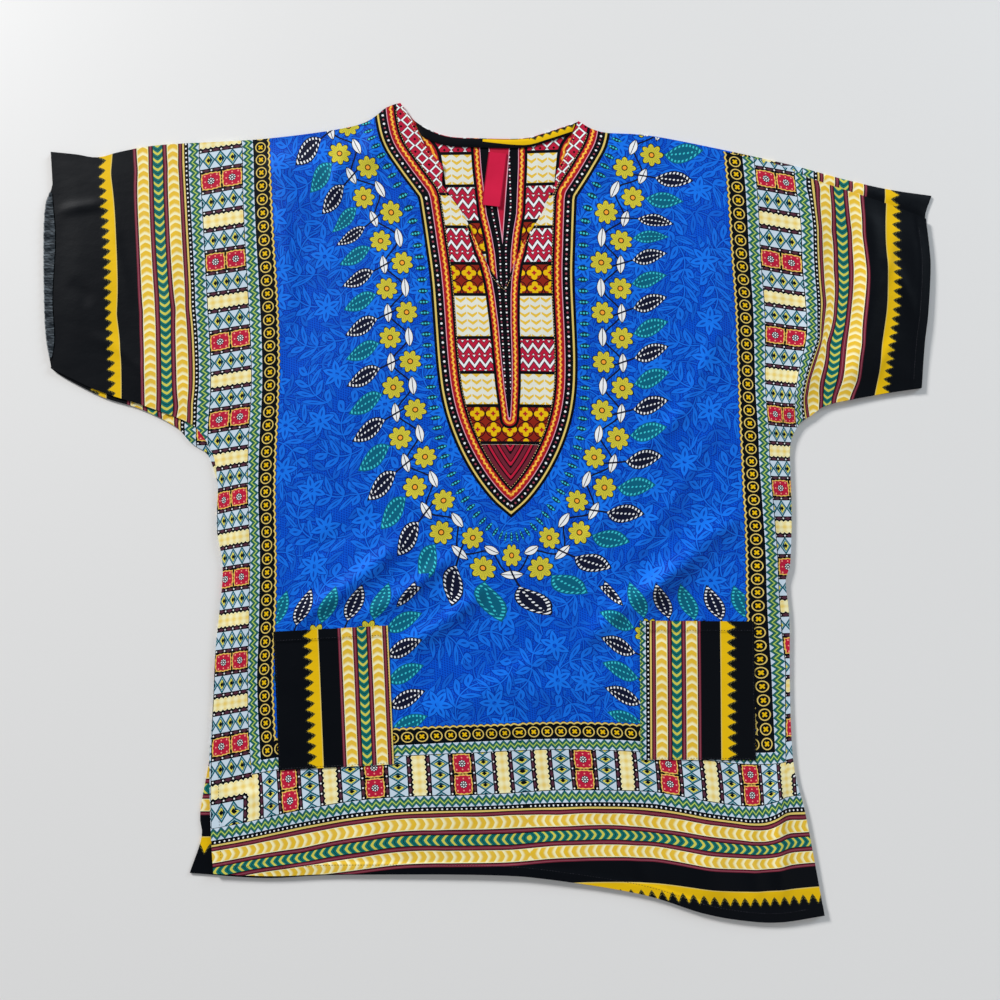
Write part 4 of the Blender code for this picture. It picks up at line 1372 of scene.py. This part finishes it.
def back_height(floor):
    """The height of the back's upper side, which is raised in the strips that have rolled forward."""
    x, y = floor.T
    strips = [(x > a.left) & (x < a.right) & (y > a.low) & (y < a.high) for a in ROLLED]
    rolled = np.any(strips, axis=0) & ~inside(floor, FRONT_EDGE)
    clear = smooth((to_edge(floor, FRONT_EDGE) - ROLL_CLEAR) / ROLL_REACH)
    rounded_off = smooth((to_edge(floor, BACK_EDGE) - 1) / ROLL_EDGE)
    return WALL + np.where(rolled, (WALL + GAP) * clear * rounded_off, 0.0)


def on_floor(floor):
    """The height of the back's underside."""
    return np.zeros(len(floor))


def ribbon(name, upper, lower, cell, height_of, material):
    """A thin strip between two rows of points on the floor, with its flat points and its faces."""
    outline = resampled(np.vstack([upper, lower[::-1], upper[:1]]), cell)[:-1]
    flat, faces = triangulated(outline, [], cells_inside(outline, [], cell))

    def coords(corners, *_):
        away, run, _ = along_path(corners, upper)
        low, high = corners.min(0), corners.max(0)
        return {
            "Print": np.column_stack([run, away]) * MAP_SCALE,
            "OFBake": (corners - low) / (high - low) * BAKE_SHARE + BAKE_MARGIN,
        }

    kinds = np.zeros(len(faces), int)
    piece = cloth(name, flat, faces, lambda points: points, height_of, kinds, [material], coords=coords)
    return piece, flat, faces


def make_turning():
    """The turned-up, crumpled hem of the back's left cuff, which shows beyond the front's edge."""
    at = np.linspace(0, 1, 60)
    edges = []
    for rows, shift in ((LEFT_CUFF, 0.7), (FRONT_LEFT_CUFF, -1.3)):
        edge = np.array(seams(LEFT_CUFF_END, rows, LEFT_CUFF_TOP) + [LEFT_CUFF_TOP])
        along = np.linspace(0, 1, len(edge))
        x, y = (np.interp(at, along, places) for places in edge.T)
        edges.append(np.column_stack([x + shift, y]))
    outer, inner = edges
    wide = inner[:, 0] - outer[:, 0] > TURNING_LEAST

    def height_of(floor):
        crumple = np.sin(floor[:, 1] * 0.5) + np.sin(floor[:, 1] * 1.13 + floor[:, 0]) + 2
        return WALL + GAP + CLOTH + TURNING_LIFT * crumple

    material = cotton("turning", turning_design)
    return ribbon("cuff_turning", outer[wide], inner[wide], TURNING_CELL, height_of, material)[0]


def make_back(materials):
    flat, faces, kinds = panel_cut(BACK_SPREAD, BACK_EDGE, print_lines(BACK_CELL), BACK_CELL)

    def back_coordinates(*corners):
        return coordinates(*corners, strip=BACK_STRIP)

    piece = cloth("back_cloth", flat, faces, BACK_SPREAD.lay, back_height, kinds, materials,
                  coords=back_coordinates, low_of=on_floor)
    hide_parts("back_panel")
    make_turning()


# ---------------- pockets, facing and label
# How far from the blue field the cut of each pocket starts, at its left edge, and its scale there
Cut = namedtuple("Cut", "patch start scale")
CUT_LEFT = Cut(POCKET_LEFT, 227.3, -1.067)
CUT_RIGHT = Cut(POCKET_RIGHT, 83.4, 1.06)
POCKET_HEM = 11.0
POCKET_SEAM = 1.6  # its stitches run this far inside its edge, and its hem's step rises over this width
POCKET_HEM_SEAM = 1.2  # how far inside the hem its stitches run


def turned(patch, points):
    """Points of a patch, from its middle, as they lie on the floor."""
    lean = math.radians(patch.lean)
    x, y = points.T
    return np.column_stack([
        patch.x + x * math.cos(lean) - y * math.sin(lean), patch.y + x * math.sin(lean) + y * math.cos(lean),
    ])


def up_patch(patch, floor):
    """How far up from a patch's middle, along its lean, each point on the floor is."""
    lean = math.radians(patch.lean)
    return (floor[:, 0] - patch.x) * -math.sin(lean) + (floor[:, 1] - patch.y) * math.cos(lean)


def rectangle(width, length):
    x, y = width / 2, length / 2
    return np.array([(-x, -y), (x, -y), (x, y), (-x, y), (-x, -y)], float)


def band_at(cut, across):
    """How far out of the blue field a pocket's cloth comes from, at this place across the pocket."""
    return (across + POCKET_WIDTH / 2) * cut.scale + cut.start


def pocket_rows(hem):
    """A pocket's rows of stitches: down its left side, along its foot, up its right side, at its hem."""
    side, foot = POCKET_WIDTH / 2 - POCKET_SEAM, -POCKET_DEPTH / 2 + POCKET_SEAM
    left, right = [(-side, -foot), (-side, foot)], [(side, foot), (side, -foot)]
    along_hem = hem + POCKET_HEM_SEAM
    return [left, [left[1], right[0]], right, [(-side, along_hem), (side, along_hem)]]


def make_pocket(cut, materials, thread):
    patch, hem = cut.patch, POCKET_DEPTH / 2 - POCKET_HEM
    outline = resampled(rectangle(POCKET_WIDTH, POCKET_DEPTH), PATCH_CELL)[:-1]
    starts = [(band.start - cut.start) / cut.scale - POCKET_WIDTH / 2 for band in BANDS]
    lines = [[(x, -POCKET_DEPTH), (x, POCKET_DEPTH)] for x in starts if abs(x) < POCKET_WIDTH / 2 - 1]
    lines += [[(-POCKET_WIDTH, y), (POCKET_WIDTH, y)] for y in (hem, hem - POCKET_SEAM)]
    lines = [resampled(np.array(line), PATCH_CELL) for line in lines]
    flat, faces = triangulated(outline, lines, cells_inside(outline, lines, PATCH_CELL))
    kinds = np.full(len(faces), KIND["border"])
    mark_bands(kinds, band_at(cut, flat[faces].mean(1)[:, 0]))

    def floor_of(points):
        return turned(patch, points)

    def height_of(floor):
        step = HEM_STEP * smooth((up_patch(patch, floor) - hem + POCKET_SEAM) / POCKET_SEAM)
        return front_height(floor) + GAP + CLOTH + step

    def coords(corners, *_):
        banded = np.column_stack([corners[:, 1] + LADDER_SHIFT, band_at(cut, corners[:, 0])])
        baked = POCKET_DEPTH * (1 + 2 * BAKE_MARGIN)
        return {"Print": banded * MAP_SCALE, "OFBake": corners / baked + 0.5}

    name = patch.name.replace("pocket", "patch")
    piece = cloth(name, flat, faces, floor_of, height_of, kinds, materials, coords=coords)
    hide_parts(patch.name)
    rows = [turned(patch, np.array(row)) for row in pocket_rows(hem)]
    sewn = stitches(patch.name.replace("pocket", "stitches"), rows, height_of, thread)


def facing_strip():
    """The edges of the strip inside the back's neckline, which narrows to nothing at both ends."""
    neckline = resampled(np.array(seams(NECK_LEFT, BACK_NECK, NECK_RIGHT) + [NECK_RIGHT]), 3.0)
    width = np.zeros(len(neckline))
    clear = np.ones(len(neckline), bool)
    for reach in np.arange(1.0, FACING_WIDTH + 0.1, 0.5):
        row = offset_line(neckline, reach)
        clear &= ~inside(row, FRONT_EDGE) & (to_edge(row, FRONT_EDGE) > FACING_CLEAR)
        width[clear] = reach
    wide = width > FACING_LEAST
    return offset_line(neckline, 1.0)[wide], offset_line(neckline, width[:, None])[wide]


def make_facing():
    upper, lower = facing_strip()

    def height_of(floor):
        edge = np.minimum(along_path(floor, upper)[0], along_path(floor, lower)[0])
        return WALL + GAP + CLOTH + (WALL - CLOTH) * smooth(edge / FACING_ROUND)

    material = cotton("binding", binding_design)
    piece, flat, faces = ribbon("neck_binding", upper, lower, RIBBON_CELL, height_of, material)
    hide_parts("back_neck_facing")


def make_label(materials):
    outline = resampled(rectangle(LABEL_WIDTH, LABEL_LENGTH), LABEL_CELL)[:-1]
    flat, faces = triangulated(outline, [], cells_inside(outline, [], LABEL_CELL))

    def floor_of(points):
        return turned(LABEL, points)

    def height_of(floor):
        curl = LABEL_CURL * smooth(-up_patch(LABEL, floor) / (LABEL_LENGTH / 2))
        return WALL + GAP + CLOTH + curl

    def coords(corners, *_):
        size = np.array([LABEL_WIDTH, LABEL_LENGTH])
        return {"Print": corners * MAP_SCALE, "OFBake": corners / size * BAKE_SHARE + 0.5}

    kinds = np.zeros(len(faces), int)
    piece = cloth("sewn_label", flat, faces, floor_of, height_of, kinds, materials, coords=coords)
    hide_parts("neck_label")


def binding_design(tree):
    """Black binding whose right part is cut from the print's gold band, with black teeth along the top."""
    along, out = read(tree, "Print")
    tooth = out - along.fold(4.4) * 0.9 * (along > 130.0)
    gold = (tooth > 0.2) * (out < (along - 75.0) * 0.09 + 3.0) * (out < 7.6)
    colour = paint(BLACK, YELLOW, gold * (along > 78.0))
    return paint(colour, OLIVE, tooth.near(-0.7, 0.5) * (along > 130.0))


def turning_design(tree):
    """Grey wrong side of the black cloth, with painted sheen in lighter streaks and a pale outer edge."""
    _, out = read(tree, "Print")
    streaks = noise(tree, 260.0, 4.0, stretch=(0.4, 3.0, 1.0))
    # the lighter streaks are painted sheen on the crumpled turning, laid over its real grey
    colour = paint(ink(30, 36, 42), ink(92, 100, 106), streaks.rise(0.42, 0.7))
    return paint(colour, ink(150, 154, 156), (out < streaks * 1.6) * 0.7)


def label_design(tree):
    """Plain red woven label with a slightly darker selvedge down each long side."""
    across, _ = read(tree, "Print")
    return paint(ink(206, 28, 66), ink(160, 20, 50), across.size() > LABEL_WIDTH / 2 - 1.2)


# ---------------- floor, camera and light, in metres
FLOOR_REACH = 6.0
FLOOR_DROP = 0.0005
FLOOR_COLOUR = (0.80, 0.78, 0.76)
SENSOR = 36.0  # this and the lens are in millimetres
LENS = 34.2
EYE = (0.0002, -0.0712, 1.0423)
EYE_TILT = 4.1  # degrees
EYE_ROLL = -1.9
SKY_COLOUR = (0.9, 0.95, 1.0)
SKY_STRENGTH = 0.25
Lamp = namedtuple("Lamp", "name place size power colour")
LAMPS = (
    Lamp("key", (-5.4, 5.6, 3.1), 1.4, 920, (1.0, 1.0, 1.0)),
    Lamp("sky", (5.4, 4.2, 2.3), 2.2, 230, (0.74, 0.88, 1.0)),
    Lamp("fill", (1.6, -1.2, 2.2), 2.0, 10, (1.0, 1.0, 1.0)),
)


def placed(name, data, place):
    """A new object of the scene that holds the data."""
    made = bpy.data.objects.new(name, data)
    made.location = place
    bpy.context.scene.collection.objects.link(made)
    return made


def make_floor():
    corners = [(x * FLOOR_REACH, y * FLOOR_REACH, 0) for x, y in ((-1, -1), (1, -1), (1, 1), (-1, 1))]
    mesh = bpy.data.meshes.new("floor")
    mesh.from_pydata(corners, [], [(0, 1, 2, 3)])
    pale = bpy.data.materials.new("pale_floor")
    pale.use_nodes = True
    pale.node_tree.nodes["Principled BSDF"].inputs["Base Color"].default_value = (*FLOOR_COLOUR, 1)
    mesh.materials.append(pale)
    placed("floor", mesh, (0, 0, -FLOOR_DROP))


def make_camera():
    camera = bpy.data.cameras.new("camera")
    camera.sensor_width = SENSOR
    camera.lens = LENS
    camera.clip_start, camera.clip_end = 0.01, 50
    eye = placed("camera", camera, EYE)
    eye.rotation_euler = (math.radians(EYE_TILT), 0, math.radians(EYE_ROLL))
    bpy.context.scene.camera = eye


def make_light():
    world = bpy.data.worlds.new("world")
    bpy.context.scene.world = world
    world.use_nodes = True
    background = world.node_tree.nodes["Background"]
    background.inputs["Color"].default_value = (*SKY_COLOUR, 1)
    background.inputs["Strength"].default_value = SKY_STRENGTH
    for lamp in LAMPS:
        light = bpy.data.lights.new(lamp.name, "AREA")
        light.size = lamp.size
        light.energy = lamp.power
        light.color = lamp.colour
        holder = placed(lamp.name, light, lamp.place)
        holder.rotation_euler = (-Vector(lamp.place)).to_track_quat("-Z", "Y").to_euler()
    bpy.context.scene.view_settings.view_transform = "Standard"


make_floor()
make_camera()
make_light()
MATERIALS = [cotton(name, design) for name, design in zip(REGIONS, DESIGNS)]
make_back(MATERIALS)
make_front(MATERIALS)
THREAD = cotton("thread_pocket", thread_design(INK_THREAD, INK_THREAD_WORN))
for pocket in (CUT_LEFT, CUT_RIGHT):
    make_pocket(pocket, MATERIALS, THREAD)
make_facing()
make_label([cotton("woven_red", label_design)])
